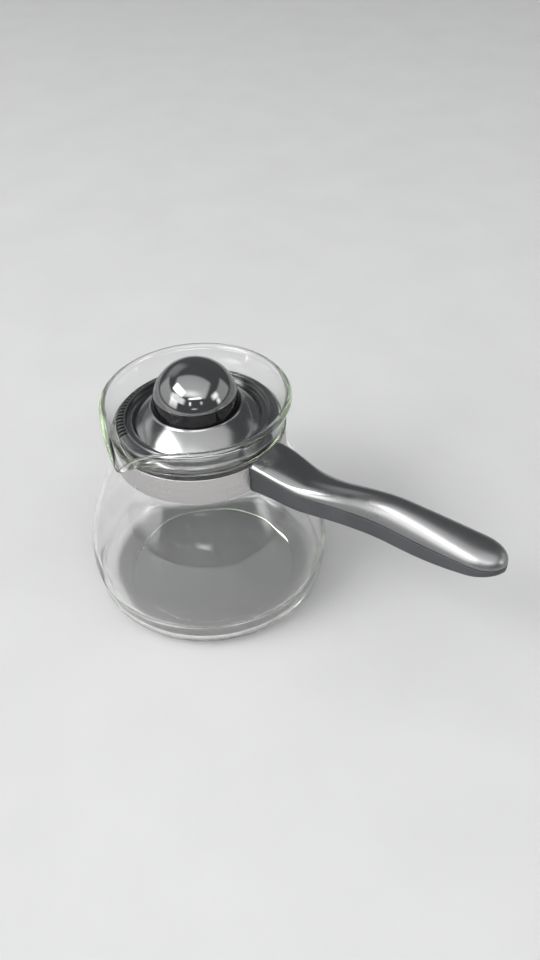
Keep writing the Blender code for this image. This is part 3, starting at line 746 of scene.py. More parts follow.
    def wall_ripples(self, angles: Array, heights: Array) -> Array:
        """Unevenness of the inner wall: a sum of waves that wind round and up the pot."""
        return sum(swing * np.cos(angles * round_pot + heights * upward + start)
                   for swing, round_pot, upward, start in self.ripple_waves)

    def base_ripples(self, x: Array, y: Array) -> Array:
        """Unevenness of the base's upper face: a sum of products of a sine and a cosine wave."""
        return sum(swing * np.sin(x * a + y * b + start) * np.cos(x * c + y * d + later)
                   for swing, (a, b, start), (c, d, later) in self.base_waves)

    def make(self) -> bpy.types.Object:
        """Turn the outline, uneven the inside, pull the lip and dress the pot.

        Returns:
            The dressed pot.
        """
        outer = self.outside()
        inner = self.inside(outer)
        middle = (self.mouth_radius - self.bead, self.rim_top - self.bead)
        bead = circle_arc(middle, self.bead, *self.bead_arc, count=18)
        outline = np.vstack([inner, bead, self.rolled(outer)[::-1]])
        outline[0, 0] = outline[-1, 0] = 0.0
        patch = spun(outline, self.steps, closed=False)
        x, y, z = np.moveaxis(patch.points, -1, 0)
        angles = np.arctan2(y, x)
        radius = np.hypot(x, y)
        swell = np.zeros_like(radius)
        rows = len(inner)
        swell[:rows] = self.wall_ripples(angles[:rows], z[:rows]) * ease(radius[:rows] / self.foot_radius)
        z[:rows] += self.base_ripples(x[:rows], y[:rows]) * ease(2 - 2 * radius[:rows] / self.foot_radius)
        out, down = self.lip(angles, z)
        radius = np.where(radius > 0, radius + swell + out, 0.0)
        patch.points = polar(radius, angles, z - down)
        return dressed(sewn("pot_glass", [patch]), Look.GLASS, Body.POT, "glass_body")


@dataclass
class Fastener:
    """A screw or bolt along its own Z: thread from 0 up, head below 0.

    The sizes of the head's face, drive and side are shares of the head's radius and height.
    """

    shank_radius: float
    shank_length: float
    head_radius: float
    head_height: float
    pitch: float
    slotted: bool = False
    thread_depth: float = 0.00022
    thread_steps: int = 28
    rows_per_turn: int = 9
    tip_taper: float = 0.35
    drive_width: float = 0.28
    drive_reach: float = 0.62
    drive_depth: float = 0.5
    drive_edge: float = 0.06
    slot_reach: float = 2.0
    face_reach: float = 0.9
    face_dome: float = 0.12
    face_rows: int = 26
    head_steps: int = 96
    side_rings: tuple[tuple[float, float], ...] = ((0.97, -0.84), (1.0, -0.74), (1.0, -0.08), (0.96, 0.0))

    def thread(self) -> Patch:
        """Shank whose radius falls by a triangle wave of (height / pitch - turn), tapered at its tip.

        Returns:
            Patch closed at both ends.
        """
        columns = np.linspace(0.0, 2 * np.pi, self.thread_steps, endpoint=False)
        count = int(self.shank_length / self.pitch * self.rows_per_turn)
        rows = np.linspace(0.0, self.shank_length, count)[:, None]
        wave = np.abs(((rows / self.pitch - columns / (2 * np.pi)) % 1.0) * 2 - 1)
        start = ease((rows - self.pitch) / self.pitch)
        tip = 1 - self.tip_taper * ease((rows - self.shank_length + self.pitch) / self.pitch)
        points = polar((self.shank_radius - self.thread_depth * wave * start) * tip, columns, rows)
        first, last = points[:1] * (0, 0, 1), points[-1:] * (0, 0, 1)
        return Patch(np.vstack([first, points, last]), columns_close=True)

    def bar(self, across: Array, along: Array, reach: float) -> Array:
        """Soft mask of one bar of the drive: 1 within half its width and its reach.

        Args:
            across: distance across the bar.
            along: distance along it.
            reach: half of its length.

        Returns:
            Mask from 0 to 1.
        """
        half = self.drive_edge / 2
        width = ease((self.drive_width / 2 + half - np.abs(across)) / self.drive_edge)
        return width * ease((reach + half - np.abs(along)) / self.drive_edge)

    def head(self) -> Patch:
        """Domed cheese head whose outer face sinks by a mask in the shape of the driver.

        Returns:
            Patch closed at both ends.
        """
        columns = np.linspace(0.0, 2 * np.pi, self.head_steps, endpoint=False)
        share = np.linspace(0.0, self.face_reach, self.face_rows)[:, None]
        x, y = share * np.cos(columns), share * np.sin(columns)
        if self.slotted:
            mask = self.bar(x, y, self.slot_reach)
        else:
            mask = np.maximum(self.bar(x, y, self.drive_reach), self.bar(y, x, self.drive_reach))
        face = polar(share, columns, -1 + self.face_dome * share ** 2 + mask * self.drive_depth)
        side = [polar(radius, columns, height) for radius, height in self.side_rings]
        points = np.vstack([face, np.stack(side), np.zeros((1, len(columns), 3))])
        size = (self.head_radius, self.head_radius, self.head_height)
        return Patch(points * size, columns_close=True)

    def make(self, name: str, place: Matrix, body: Body, node: str) -> bpy.types.Object:
        """Build the fastener at its place.

        Args:
            name: name of the piece.
            place: matrix from the fastener's own axes to the frame.
            body: body that it moves with.
            node: plain node that it replaces.

        Returns:
            The dressed piece.
        """
        patches = [self.thread().moved(place), self.head().moved(place)]
        return dressed(sewn(name, patches), Look.SCREWS, body, node)


@dataclass
class Strap:
    """Steel strap round the neck with its two ears, and the bolt and nut that close it."""

    inner_radius: float = 0.0387
    thickness: float = 0.0005
    ear_spacing: float = 0.0030
    ear_bend: float = 0.0020
    ear_length: float = 0.0200
    ear_half_height: float = 0.00325
    ear_drop: float = 0.0015
    narrows_before: float = 0.0006
    narrows_over: float = 0.0008
    bolt_radius: float = 0.0015
    bolt_head: float = 0.0021
    bolt_pitch: float = 0.0005
    nut_flats: float = 0.0055
    nut_bevel: float = 0.6
    nut_face: float = 0.96
    nut_steps: int = 96
    low: float = field(default_factory=lambda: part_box("neck_band")[0].z)
    high: float = field(default_factory=lambda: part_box("neck_band")[1].z)

    def __post_init__(self) -> None:
        """Work out the places that follow from the sizes."""
        self.middle = self.inner_radius + self.thickness / 2
        self.ear_y = self.ear_spacing / 2 + self.thickness / 2
        self.bend_x = math.sqrt((self.middle + self.ear_bend) ** 2 - (self.ear_y + self.ear_bend) ** 2)
        self.ear_z = (self.low + self.high) / 2 - self.ear_drop
        self.bolt_x = self.bend_x + self.ear_length / 2

    def path(self) -> Array:
        """Plan of the middle line: ear, bend, round the neck, bend, ear.

        Returns:
            Array of shape (points, 2).
        """
        turn = math.degrees(math.atan2(self.ear_y + self.ear_bend, self.bend_x))
        ear = np.linspace((self.bend_x + self.ear_length, self.ear_y), (self.bend_x, self.ear_y), num=24)
        bend = circle_arc((self.bend_x, self.ear_y + self.ear_bend), self.ear_bend, 270, 180 + turn, count=14)
        ring = circle_arc((0.0, 0.0), self.middle, turn, 180, count=130)
        half = np.vstack([ear[:-1], bend[:-1], ring])
        return np.vstack([half, half[-2::-1] * (1, -1)])

    def band(self) -> bpy.types.Object:
        """Carry a round-edged section along the path, narrower and lower where it enters the handle.

        Returns:
            The dressed strap.
        """
        path = self.path()
        edge = self.thickness / 2
        cap = circle_arc((0.0, 0.0), edge, 0, 180, count=7)
        across, lift = np.vstack([cap, -cap]).T
        side = np.repeat([1.0, -1.0], len(cap))
        in_handle = ease((path[:, 0] - self.middle + self.narrows_before) / self.narrows_over)
        full = (self.high - self.low) / 2 - edge
        half = full + (self.ear_half_height - edge - full) * in_handle
        centre = (self.low + self.high) / 2 - self.ear_drop * in_handle
        plan = path[:, None] + square_to(path)[:, None] * across[None, :, None]
        height = centre[:, None] + half[:, None] * side + lift
        rows = np.concatenate([plan, height[..., None]], axis=2)
        ends = [rows[k:k + 1].mean(axis=1, keepdims=True) + 0 * rows[:1] for k in (0, -1)]
        patch = Patch(np.vstack([ends[0], rows, ends[1]]), columns_close=True)
        piece = worked(sewn("neck_strap", [patch]), [('DIFFERENCE', [self.bolt_way(self.ear_y * 3)])])
        return dressed(piece, Look.STRAP, Body.POT, "neck_band")

    def bolt_way(self, reach: float) -> Patch:
        """Rod that clears the bolt, out to a reach on both sides."""
        start, end = (self.bolt_x, -reach, self.ear_z), (self.bolt_x, reach, self.ear_z)
        return rod(self.bolt_radius + GAP, start, end)

    def across(self, y: float) -> Matrix:
        """Matrix that lays a fastener's own Z across the handle, from a place along Y."""
        return Matrix.Translation((self.bolt_x, y, self.ear_z)) @ Matrix.Rotation(math.radians(-90), 4, 'X')

    def bolt(self) -> bpy.types.Object:
        """Make the slotted bolt that lies across the handle.

        Returns:
            The dressed bolt.
        """
        low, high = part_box("clamp_bolt")
        shank = high.y - low.y - self.bolt_head
        shape = Fastener(self.bolt_radius, shank, (high.x - low.x) / 2, self.bolt_head, self.bolt_pitch,
                         slotted=True)
        return shape.make("strap_bolt", self.across(low.y + self.bolt_head), Body.POT, "clamp_bolt")

    def nut(self) -> bpy.types.Object:
        """Hexagon nut: radius flats / 2 / cos(angle from the nearest flat), with bevelled corners.

        Returns:
            The dressed nut.
        """
        low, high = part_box("clamp_nut")
        thick = high.y - low.y
        angles = np.linspace(0.0, 2 * np.pi, self.nut_steps, endpoint=False)
        from_flat = (angles + np.pi / 6) % (np.pi / 3) - np.pi / 6
        flat = self.nut_flats / 2
        corner = flat / np.cos(from_flat)
        bevel = (corner - flat) * self.nut_bevel
        bore = self.bolt_radius + GAP / 2
        top = flat * self.nut_face
        rings = [(bore, 0.0), (top, 0.0), (corner, bevel), (corner, thick - bevel),
                 (top, thick), (bore, thick)]
        points = np.stack([polar(radius, angles, height) for radius, height in rings])
        patch = Patch(points, rows_close=True, columns_close=True).moved(self.across(low.y))
        return dressed(sewn("strap_nut", [patch]), Look.SCREWS, Body.POT, "clamp_nut")

    def make(self) -> None:
        """Build the strap, its bolt and its nut."""
        self.band()
        self.bolt()
        self.nut()


@dataclass
class Handle:
    """Two long shells: a glossy crowned cover over a matt trough, held by two screws."""

    strap: Strap
    wall: float = 0.0018
    root_half_width: float = 0.0106
    waist_half_width: float = 0.0071
    grip_half_width: float = 0.0086
    waist_at: float = 0.40
    grip_at: float = 0.90
    dip_at: float = 0.22
    crest_at: float = 0.60
    dip: float = 0.0041
    crest: float = 0.0044
    tip_rise: float = 0.0015
    root_crown: float = 0.0031
    crest_crown: float = 0.0086
    tip_crown: float = 0.0055
    root_depth: float = 0.0135
    middle_depth: float = 0.0088
    tip_depth: float = 0.0027
    root_taper: float = 2.2
    tip_thinning: float = 2.8
    tip_round: float = 0.0125
    tip_plan_power: float = 2.2
    tip_top_power: float = 3.0
    crown_power: float = 2.0
    edge_round: float = 0.0020
    edge_round_limit: float = 0.6
    seam_round: float = 0.00035
    seam_round_limit: float = 0.5
    hollow_run: float = 0.012
    cap_rows: int = 8
    tip_rows: int = 25
    arch_steps: int = 57
    bend_steps: int = 9
    flat_steps: int = 7
    cradle_wall: float = 0.0014
    cradle_length: float = 0.0076
    screw_at: tuple[float, float] = (0.27, 0.80)
    screw_radius: float = 0.0012
    screw_head_radius: float = 0.0024
    screw_head_height: float = 0.0014
    screw_pitch: float = 0.0008
    screw_recess: float = 0.0006
    post_wall: float = 0.0011
    stations: int = 96

    def __post_init__(self) -> None:
        """Take the root, the length and the parting line from the frame and the strap."""
        self.root = self.strap.inner_radius + self.strap.thickness + GAP
        self.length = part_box("handle_top_shell")[1].x - self.root
        self.root_parting = self.strap.high - GAP

    def parting(self, share: Array) -> Array:
        """Height of the line where the shells meet: three half cosine waves end to end.

        Args:
            share: share of the handle's length at each place.

        Returns:
            Height above the foot.
        """
        dip = self.root_parting - self.dip * ease(share / self.dip_at)
        climb = self.crest * ease((share - self.dip_at) / (self.crest_at - self.dip_at))
        return dip + climb + self.tip_rise * ease((share - self.crest_at) / (1 - self.crest_at))

    def half_width(self, share: Array) -> Array:
        """Half width before the tip is rounded: in to the waist, out to the grip.

        Args:
            share: share of the handle's length at each place.

        Returns:
            Half width.
        """
        waist = (self.waist_half_width - self.root_half_width) * ease(share / self.waist_at)
        grip = ease((share - self.waist_at) / (self.grip_at - self.waist_at))
        return self.root_half_width + waist + (self.grip_half_width - self.waist_half_width) * grip

    def crown(self, share: Array) -> Array:
        """Height of the cover's crown over the parting line: up to the crest, then down to the tip.

        Args:
            share: share of the handle's length at each place.

        Returns:
            Height over the parting line.
        """
        crest = self.root_crown + (self.crest_crown - self.root_crown) * ease(share / self.crest_at)
        tip = ease((share - self.crest_at) / (1 - self.crest_at))
        return crest - (self.crest_crown - self.tip_crown) * tip

    def depth(self, share: Array) -> Array:
        """Depth of the trough: falls off the root by a power, then thins to the tip by another.

        Args:
            share: share of the handle's length at each place.

        Returns:
            Depth under the parting line.
        """
        near_root = np.clip(1 - share / self.waist_at, 0.0, 1.0) ** self.root_taper
        near_tip = np.clip(2 * share - 1, 0.0, 1.0) ** self.tip_thinning
        root = (self.root_depth - self.middle_depth) * near_root
        return self.middle_depth + root - (self.middle_depth - self.tip_depth) * near_tip

    def along(self, start: float, inset: float) -> tuple[Array, Array, Array]:
        """Stations along the handle and what the round tip leaves of the width and the crown.

        Args:
            start: first distance from the root.
            inset: how far the surface lies inside the outer one.

        Returns:
            Distances, shares of the width and shares of the crown.
        """
        end = self.length - inset
        tip = self.tip_round - inset
        turn = np.sin(np.linspace(0.0, np.pi / 2, self.tip_rows)[1:])
        distance = np.concatenate([np.linspace(start, end - tip, self.stations), end - tip + tip * turn])
        into = np.clip((distance - end + tip) / tip, 0.0, 1.0)
        return distance, np.sqrt(1 - into ** self.tip_plan_power), np.sqrt(1 - into ** self.tip_top_power)

    def placed(self, distance: Array, y: Array, z: Array, start: float) -> Patch:
        """Rows of a shell set along X, with the root end hollowed to the strap's curve.

        Args:
            distance: distance of each row from the root.
            y: sideways place, rows by columns.
            z: height, rows by columns.
            start: first distance; 0 asks for the curved end.

        Returns:
            Patch closed at both ends.
        """
        middle = z.mean(axis=1, keepdims=True)
        shrink = np.linspace(0.0, 1.0, self.cap_rows, endpoint=False)[:, None]
        cap_y, cap_z = y[:1] * shrink, middle[:1] + (z[:1] - middle[:1]) * shrink
        last_y, last_z = y[-1:] * 0, middle[-1:] + z[-1:] * 0
        y = np.vstack([cap_y, y, last_y])
        z = np.vstack([cap_z, z, last_z])
        far = np.concatenate([np.full(self.cap_rows, distance[0]), distance, distance[-1:]])[:, None]
        x = self.root + far + 0 * y
        if start == 0:
            sag = np.sqrt(self.root ** 2 - y ** 2) - self.root
            x = x + sag * np.clip(1 - far / self.hollow_run, 0.0, 1.0)
        return Patch(np.stack([x, y, z], axis=-1), columns_close=True)

    def cover_form(self, inset: float = 0.0, start: float = 0.0, floor: float = 0.0) -> Patch:
        """Crowned form: height = crown * sqrt(1 - |y / half width| ** power) over the parting line.

        Args:
            inset: how far the form lies inside the outer one.
            start: distance of its first row from the root.
            floor: how far it goes on down below the parting line; 0 closes it there.

        Returns:
            Patch closed at both ends.
        """
        distance, plan, top = self.along(start, inset)
        share = distance / self.length
        wide = np.maximum((self.half_width(share) - inset) * plan, 0.0)[:, None]
        tall = np.maximum((self.crown(share) - inset) * top, 0.0)[:, None]
        turn = np.cos(np.linspace(0.0, np.pi, self.arch_steps))
        up = tall * np.sqrt(1 - np.abs(turn) ** self.crown_power)
        pinch = np.clip(1 - up / self.seam_round, 0.0, 1.0)
        drawn = self.seam_round * (1 - np.sqrt(1 - pinch ** 2)) * (inset == 0)
        y = np.sign(turn) * np.maximum(wide * np.abs(turn) - drawn, 0.0)
        z = self.parting(share)[:, None] + up
        if floor:
            base = self.parting(share)[:, None] - floor
            y = np.hstack([y, -wide, wide])
            z = np.hstack([z, base, base])
        return self.placed(distance, y, z, start)

    def trough_form(self, inset: float = 0.0, start: float = 0.0, lift: float = 0.0) -> Patch:
        """Trough form: rim, rounded seam, straight side, rounded bottom edge and flat floor.

        Args:
            inset: how far the form lies inside the outer one.
            start: distance of its first row from the root.
            lift: how far its rim goes up over the outer one.

        Returns:
            Patch closed at both ends.
        """
        distance, plan, _ = self.along(start, inset)
        share = distance / self.length
        wide = (self.half_width(share) - inset) * plan
        rim = self.parting(share) - GAP + lift
        floor = self.parting(share) - np.maximum(self.depth(share) - inset, 2 * GAP)
        corner = np.minimum(self.edge_round, np.minimum(wide, rim - floor) * self.edge_round_limit)
        seam = np.minimum(self.seam_round if inset == 0 else 0.0, wide * self.seam_round_limit)
        bend = np.linspace(0.0, np.pi / 2, self.bend_steps)
        side = np.linspace(0.0, 1.0, self.flat_steps)[1:-1]
        flat = np.linspace(1.0, 0.0, self.flat_steps)[1:]
        wide, rim, floor, corner, seam = (value[:, None] for value in (wide, rim, floor, corner, seam))
        y = np.hstack([wide - seam + seam * np.sin(bend), wide + 0 * side,
                       wide - corner + corner * np.cos(bend), (wide - corner) * flat])
        z = np.hstack([rim - seam + seam * np.cos(bend),
                       (rim - seam) * (1 - side) + (floor + corner) * side,
                       floor + corner - corner * np.sin(bend), floor + 0 * flat])
        y = np.hstack([y, -y[:, -2::-1]])
        z = np.hstack([z, z[:, -2::-1]])
        return self.placed(distance, y, z, start)

    @property
    def ear_side(self) -> float:
        """Sideways place of the walls beside the ears."""
        return self.strap.ear_spacing / 2 + self.strap.thickness + GAP

    def ways(self) -> list[Patch]:
        """Room that the shells leave for the ears, their bends and the bolt.

        Returns:
            One tool for each, in that order.
        """
        strap, near = self.strap, self.ear_side
        tall = strap.ear_half_height + GAP
        low, high = strap.ear_z - tall, strap.ear_z + tall
        start = self.root - 2 * strap.ear_bend
        flared = near - GAP + strap.ear_bend
        return [block((start, -near, low), (strap.bend_x + strap.ear_length + GAP, near, high)),
                block((start, -flared, low), (strap.bend_x + GAP, flared, high)),
                strap.bolt_way(near + self.cradle_wall + GAP)]

    def cradle(self, low: float, high: float) -> list[Patch]:
        """The two walls beside the ears.

        Args:
            low: height of their lower ends.
            high: height of their upper ends.

        Returns:
            One block for each side.
        """
        near, far = self.ear_side, self.ear_side + self.cradle_wall
        half = self.cradle_length / 2
        x = self.strap.bolt_x
        return [block((x - half, side * near, low), (x + half, side * far, high)) for side in (-1, 1)]

    def screw_places(self) -> list[tuple[float, float, float, float]]:
        """Where each screw stands.

        Returns:
            X, height of the outer skin, of the seat and of the crown at each screw.
        """
        places = []
        for share in self.screw_at:
            parting = float(self.parting(share))
            skin = parting - float(self.depth(share))
            seat = skin + self.screw_recess + self.screw_head_height + self.wall
            places.append((self.root + share * self.length, skin, seat, parting + float(self.crown(share))))
        return places

    def make(self) -> None:
        """Build the two shells and their screws."""
        strap, wall = self.strap, self.wall
        share = (strap.bolt_x - self.root) / self.length
        parting = float(self.parting(share))
        floor = parting - float(self.depth(share)) + wall / 2
        roof = parting + float(self.crown(share)) - wall
        posts, pilots, bosses, sinks, holes = [], [], [], [], []
        for x, skin, seat, crown in self.screw_places():
            pilot = self.screw_radius + GAP / 2
            sink = self.screw_head_radius + GAP
            posts.append(rod(pilot + self.post_wall, (x, 0, seat + GAP), (x, 0, crown - wall / 2)))
            pilots.append(rod(pilot, (x, 0, seat), (x, 0, crown - wall)))
            bosses.append(rod(sink + self.post_wall, (x, 0, skin + wall / 2), (x, 0, seat)))
            sinks.append(rod(sink, (x, 0, skin - GAP), (x, 0, seat - wall + GAP)))
            holes.append(rod(self.screw_radius + GAP, (x, 0, skin), (x, 0, seat + GAP)))
        ways = [('DIFFERENCE', [way]) for way in self.ways()]
        cover = worked(sewn("handle_cover", [self.cover_form()]), [
            ('DIFFERENCE', [self.cover_form(wall, wall, self.edge_round)]),
            ('UNION', self.cradle(strap.ear_z + GAP, roof)), ('UNION', posts), ('DIFFERENCE', pilots), *ways])
        dressed(cover, Look.COVER, Body.POT, "handle_top_shell")
        trough = worked(sewn("handle_trough", [self.trough_form()]), [
            ('DIFFERENCE', [self.trough_form(wall, wall, self.edge_round)]),
            ('UNION', self.cradle(floor, strap.ear_z - GAP)), ('UNION', bosses),
            ('DIFFERENCE', sinks), ('DIFFERENCE', holes), *ways])
        dressed(trough, Look.TROUGH, Body.POT, "handle_bottom_shell")
        for index, (x, skin, _, crown) in enumerate(self.screw_places(), 1):
            under_head = skin + self.screw_recess + self.screw_head_height
            shape = Fastener(self.screw_radius, crown - wall - GAP - under_head, self.screw_head_radius,
                             self.screw_head_height, self.screw_pitch)
            place = Matrix.Translation((x, 0, under_head))
            shape.make(f"cover_screw_{index}", place, Body.POT, f"handle_screw_{index}")


@dataclass
class Lid:
    """Black dish with a channel, a raised ridge, a comb of straining teeth and a skirt."""

    knob_radius: float
    wall: float = 0.0020
    edge_height: float = 0.0008
    ridge_inset: float = 0.0043
    ridge_height: float = 0.0028
    ridge_width: float = 0.0007
    ridge_slope: float = 0.0002
    rim_flat: float = 0.0008
    rim_height: float = 0.0020
    rim_pull: float = 0.0008
    edge_bevel: float = 0.0004
    channel_width: float = 0.0030
    channel_height: float = 0.0004
    crown_edge: float = 0.0007
    crown_foot: float = 0.00045
    crown_rise: float = 0.0002
    crown_lead: tuple[float, float] = (0.0028, 0.0018)
    crown_fall: tuple[float, float] = (0.0027, 0.0025)
    seat_height: float = 0.0070
    seat_lip_height: float = 0.0008
    seat_lip_width: float = 0.0011
    seat_lip_flat: float = 0.0007
    skirt_bevel: tuple[float, float] = (0.0004, 0.0008)
    sharp_round: float = 0.0002
    soft_round: float = 0.0003
    skirt_depth: float = 0.0090
    skirt_wall: float = 0.0017
    skirt_radius: float = 0.0355
    screw_hole: float = 0.0022
    slots: int = 18
    slot_pitch: float = math.radians(4.0)
    first_slot: float = math.radians(174.5)
    slot_width: float = 0.0012
    comb_foot: float = 0.0020
    comb_past: float = 0.0009
    steps: int = 240
    edge: float = field(default_factory=lambda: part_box("lid_disc")[1].x)
    low: float = field(default_factory=lambda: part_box("lid_disc")[0].z)

    def outline(self) -> Array:
        """Section from the screw hole over the top, down the skirt and back under the crown.

        Returns:
            Radius and height of each point.
        """
        z = self.low + self.skirt_depth
        half = self.ridge_width / 2
        ridge = self.edge - self.ridge_inset
        channel = ridge - half - self.channel_width
        channel_z, rim_z = z + self.channel_height, z + self.rim_height
        seat = self.knob_radius + GAP
        top = z + self.seat_height
        lip_top = top + self.seat_lip_height
        high = top + self.crown_rise
        edge = z + self.crown_edge
        crown_start = seat + self.seat_lip_width
        crown = cubic([(crown_start, high), (crown_start + self.crown_lead[0], high - self.crown_lead[1]),
                       (channel - self.crown_fall[0], edge + self.crown_fall[1]), (channel, edge)], count=28)
        under = crown[::-1] - (self.wall / 2, self.wall)
        crown = np.insert(crown, 2, 0.0, axis=1)
        crown[-1, 2] = self.soft_round
        rim = cubic([(ridge + half + self.rim_flat, rim_z), (self.edge - self.rim_pull, rim_z),
                     (self.edge, z + self.edge_height), (self.edge, z + self.edge_height / 2)], count=14)
        skirt, inner = self.skirt_radius, self.skirt_radius - self.skirt_wall
        bevel, bevel_height = self.skirt_bevel
        rows = [(self.screw_hole, top, 0), (seat, top, self.sharp_round), (seat, lip_top, self.sharp_round),
                (seat + self.seat_lip_flat, lip_top, self.soft_round), *crown.tolist(),
                (channel + self.crown_foot, channel_z, self.soft_round),
                (ridge - half - self.ridge_slope, channel_z, self.soft_round),
                (ridge - half, z + self.ridge_height, self.soft_round),
                (ridge + half, z + self.ridge_height, self.soft_round),
                (ridge + half + self.ridge_slope, rim_z, self.sharp_round),
                *np.insert(rim, 2, 0.0, axis=1).tolist(), (self.edge, z, self.sharp_round),
                (self.edge - self.edge_bevel, z - self.edge_height, self.sharp_round),
                (skirt, z - self.edge_height, self.sharp_round),
                (skirt, self.low + bevel_height, self.soft_round),
                (skirt - bevel, self.low, self.soft_round), (inner, self.low, self.soft_round),
                (inner, channel_z - self.wall, self.soft_round),
                *np.insert(under, 2, 0.0, axis=1).tolist(), (self.screw_hole, top - self.wall, 0)]
        return rounded(rows)

    def comb(self) -> list[Patch]:
        """Upright bars for the slots, fanned about Z at the comb's pitch.

        Returns:
            One block for each slot.
        """
        z = self.low + self.skirt_depth
        inner = min(self.skirt_radius - self.skirt_wall, self.edge - self.ridge_inset + self.ridge_width / 2)
        half = self.slot_width / 2
        bar = block((inner - GAP / 2, -half, self.low + self.comb_foot),
                    (self.edge + self.comb_past, half, z + 2 * self.ridge_height))
        turns = self.first_slot + self.slot_pitch * np.arange(self.slots)
        return [bar.moved(Matrix.Rotation(turn, 4, 'Z')) for turn in turns]

    def make(self) -> bpy.types.Object:
        """Turn the dish, cut the comb and dress it."""
        piece = worked(sewn("lid_plate", [spun(self.outline(), self.steps)]), [('DIFFERENCE', self.comb())])
        return dressed(piece, Look.LID, Body.LID, "lid_disc")


@dataclass
class Knob:
    """Glossy knob: a ring, a dome plugged into it and the screw that holds both to the lid.

    The dome's sphere ends seam_turn degrees before the seam, where a rounding goes on from it.
    """

    radius: float = field(default_factory=lambda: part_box("knob_base")[1].x)
    low: float = field(default_factory=lambda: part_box("knob_base")[0].z)
    seam: float = field(default_factory=lambda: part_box("knob_base")[1].z)
    top: float = field(default_factory=lambda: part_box("knob_cap")[1].z)
    taper: float = 0.0008
    wall: float = 0.0020
    floor: float = 0.0024
    foot_edge: float = 0.0009
    foot_round: float = 0.00081
    side_round: float = 0.0006
    floor_round: float = 0.0005
    bore_round: float = 0.0002
    seam_round: float = 0.00025
    seam_pull: float = 0.0001
    seam_turn: float = 0.8
    plug_depth: float = 0.0024
    boss_radius: float = 0.0048
    screw_radius: float = 0.0019
    screw_head_height: float = 0.0022
    screw_pitch: float = 0.0010
    screw_bite: float = 0.0085
    steps: int = 160

    def ring(self) -> bpy.types.Object:
        """Tapered ring with a floor that the screw passes through.

        Returns:
            The dressed ring.
        """
        hole = self.screw_radius + GAP
        rim = self.radius - self.taper
        bore = rim - self.wall
        floor = self.low + self.floor
        rows = [(hole, floor, 0), (bore, floor, self.floor_round), (bore, self.seam, self.bore_round),
                (rim, self.seam, self.seam_round), (self.radius, self.low + self.foot_edge, self.side_round),
                (self.radius, self.low, self.foot_round), (hole, self.low, 0)]
        piece = sewn("knob_ring", [spun(rounded(rows, steps=9), self.steps)])
        return dressed(piece, Look.RING, Body.KNOB, "knob_base")

    def dome(self) -> bpy.types.Object:
        """Cap of a sphere over the ring, hollow, with a plug rim and a boss for the screw.

        Returns:
            The dressed dome.
        """
        rim = self.radius - self.taper
        seam = self.seam + GAP
        height = self.top - seam
        sphere = (rim ** 2 + height ** 2) / (2 * height)
        middle = self.top - sphere
        start = math.degrees(math.asin((seam - middle) / sphere))
        plug = rim - self.wall - GAP
        inner = plug - self.wall
        hollow = sphere - self.wall
        outside = circle_arc((0.0, middle), sphere, 90, start + self.seam_turn, count=72)
        outside[0, 0] = 0.0
        edge = cubic([outside[-1], (rim, seam + self.seam_pull), (rim, seam),
                      (rim - self.seam_round, seam)], count=6)
        rise = (math.degrees(math.acos(inner / hollow)), math.degrees(math.acos(self.boss_radius / hollow)))
        inside = circle_arc((0.0, middle), hollow, *rise, count=24)
        hole = self.screw_radius + GAP
        boss = self.low + self.floor + GAP
        bite = boss + self.screw_bite
        low = seam - self.plug_depth
        tail = np.array([(plug, seam), (plug, low), (inner, low), *inside.tolist(), (self.boss_radius, boss),
                         (hole, boss), (hole, bite), (0.0, bite)])
        outline = np.vstack([outside, edge[1:], tail])
        piece = sewn("knob_dome", [spun(outline, self.steps, closed=False)])
        return dressed(piece, Look.DOME, Body.KNOB, "knob_cap")

    def screw(self) -> bpy.types.Object:
        """Screw that comes up through the lid and the ring into the dome.

        Returns:
            The dressed screw.
        """
        low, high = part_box("knob_screw")
        under = low.z + self.screw_head_height
        shape = Fastener(self.screw_radius, high.z - under, (high.x - low.x) / 2, self.screw_head_height,
                         self.screw_pitch)
        return shape.make("knob_bolt", Matrix.Translation((0, 0, under)), Body.KNOB, "knob_screw")

    def make(self) -> None:
        """Build the ring, the dome and the screw."""
        self.ring()
        self.dome()
        self.screw()


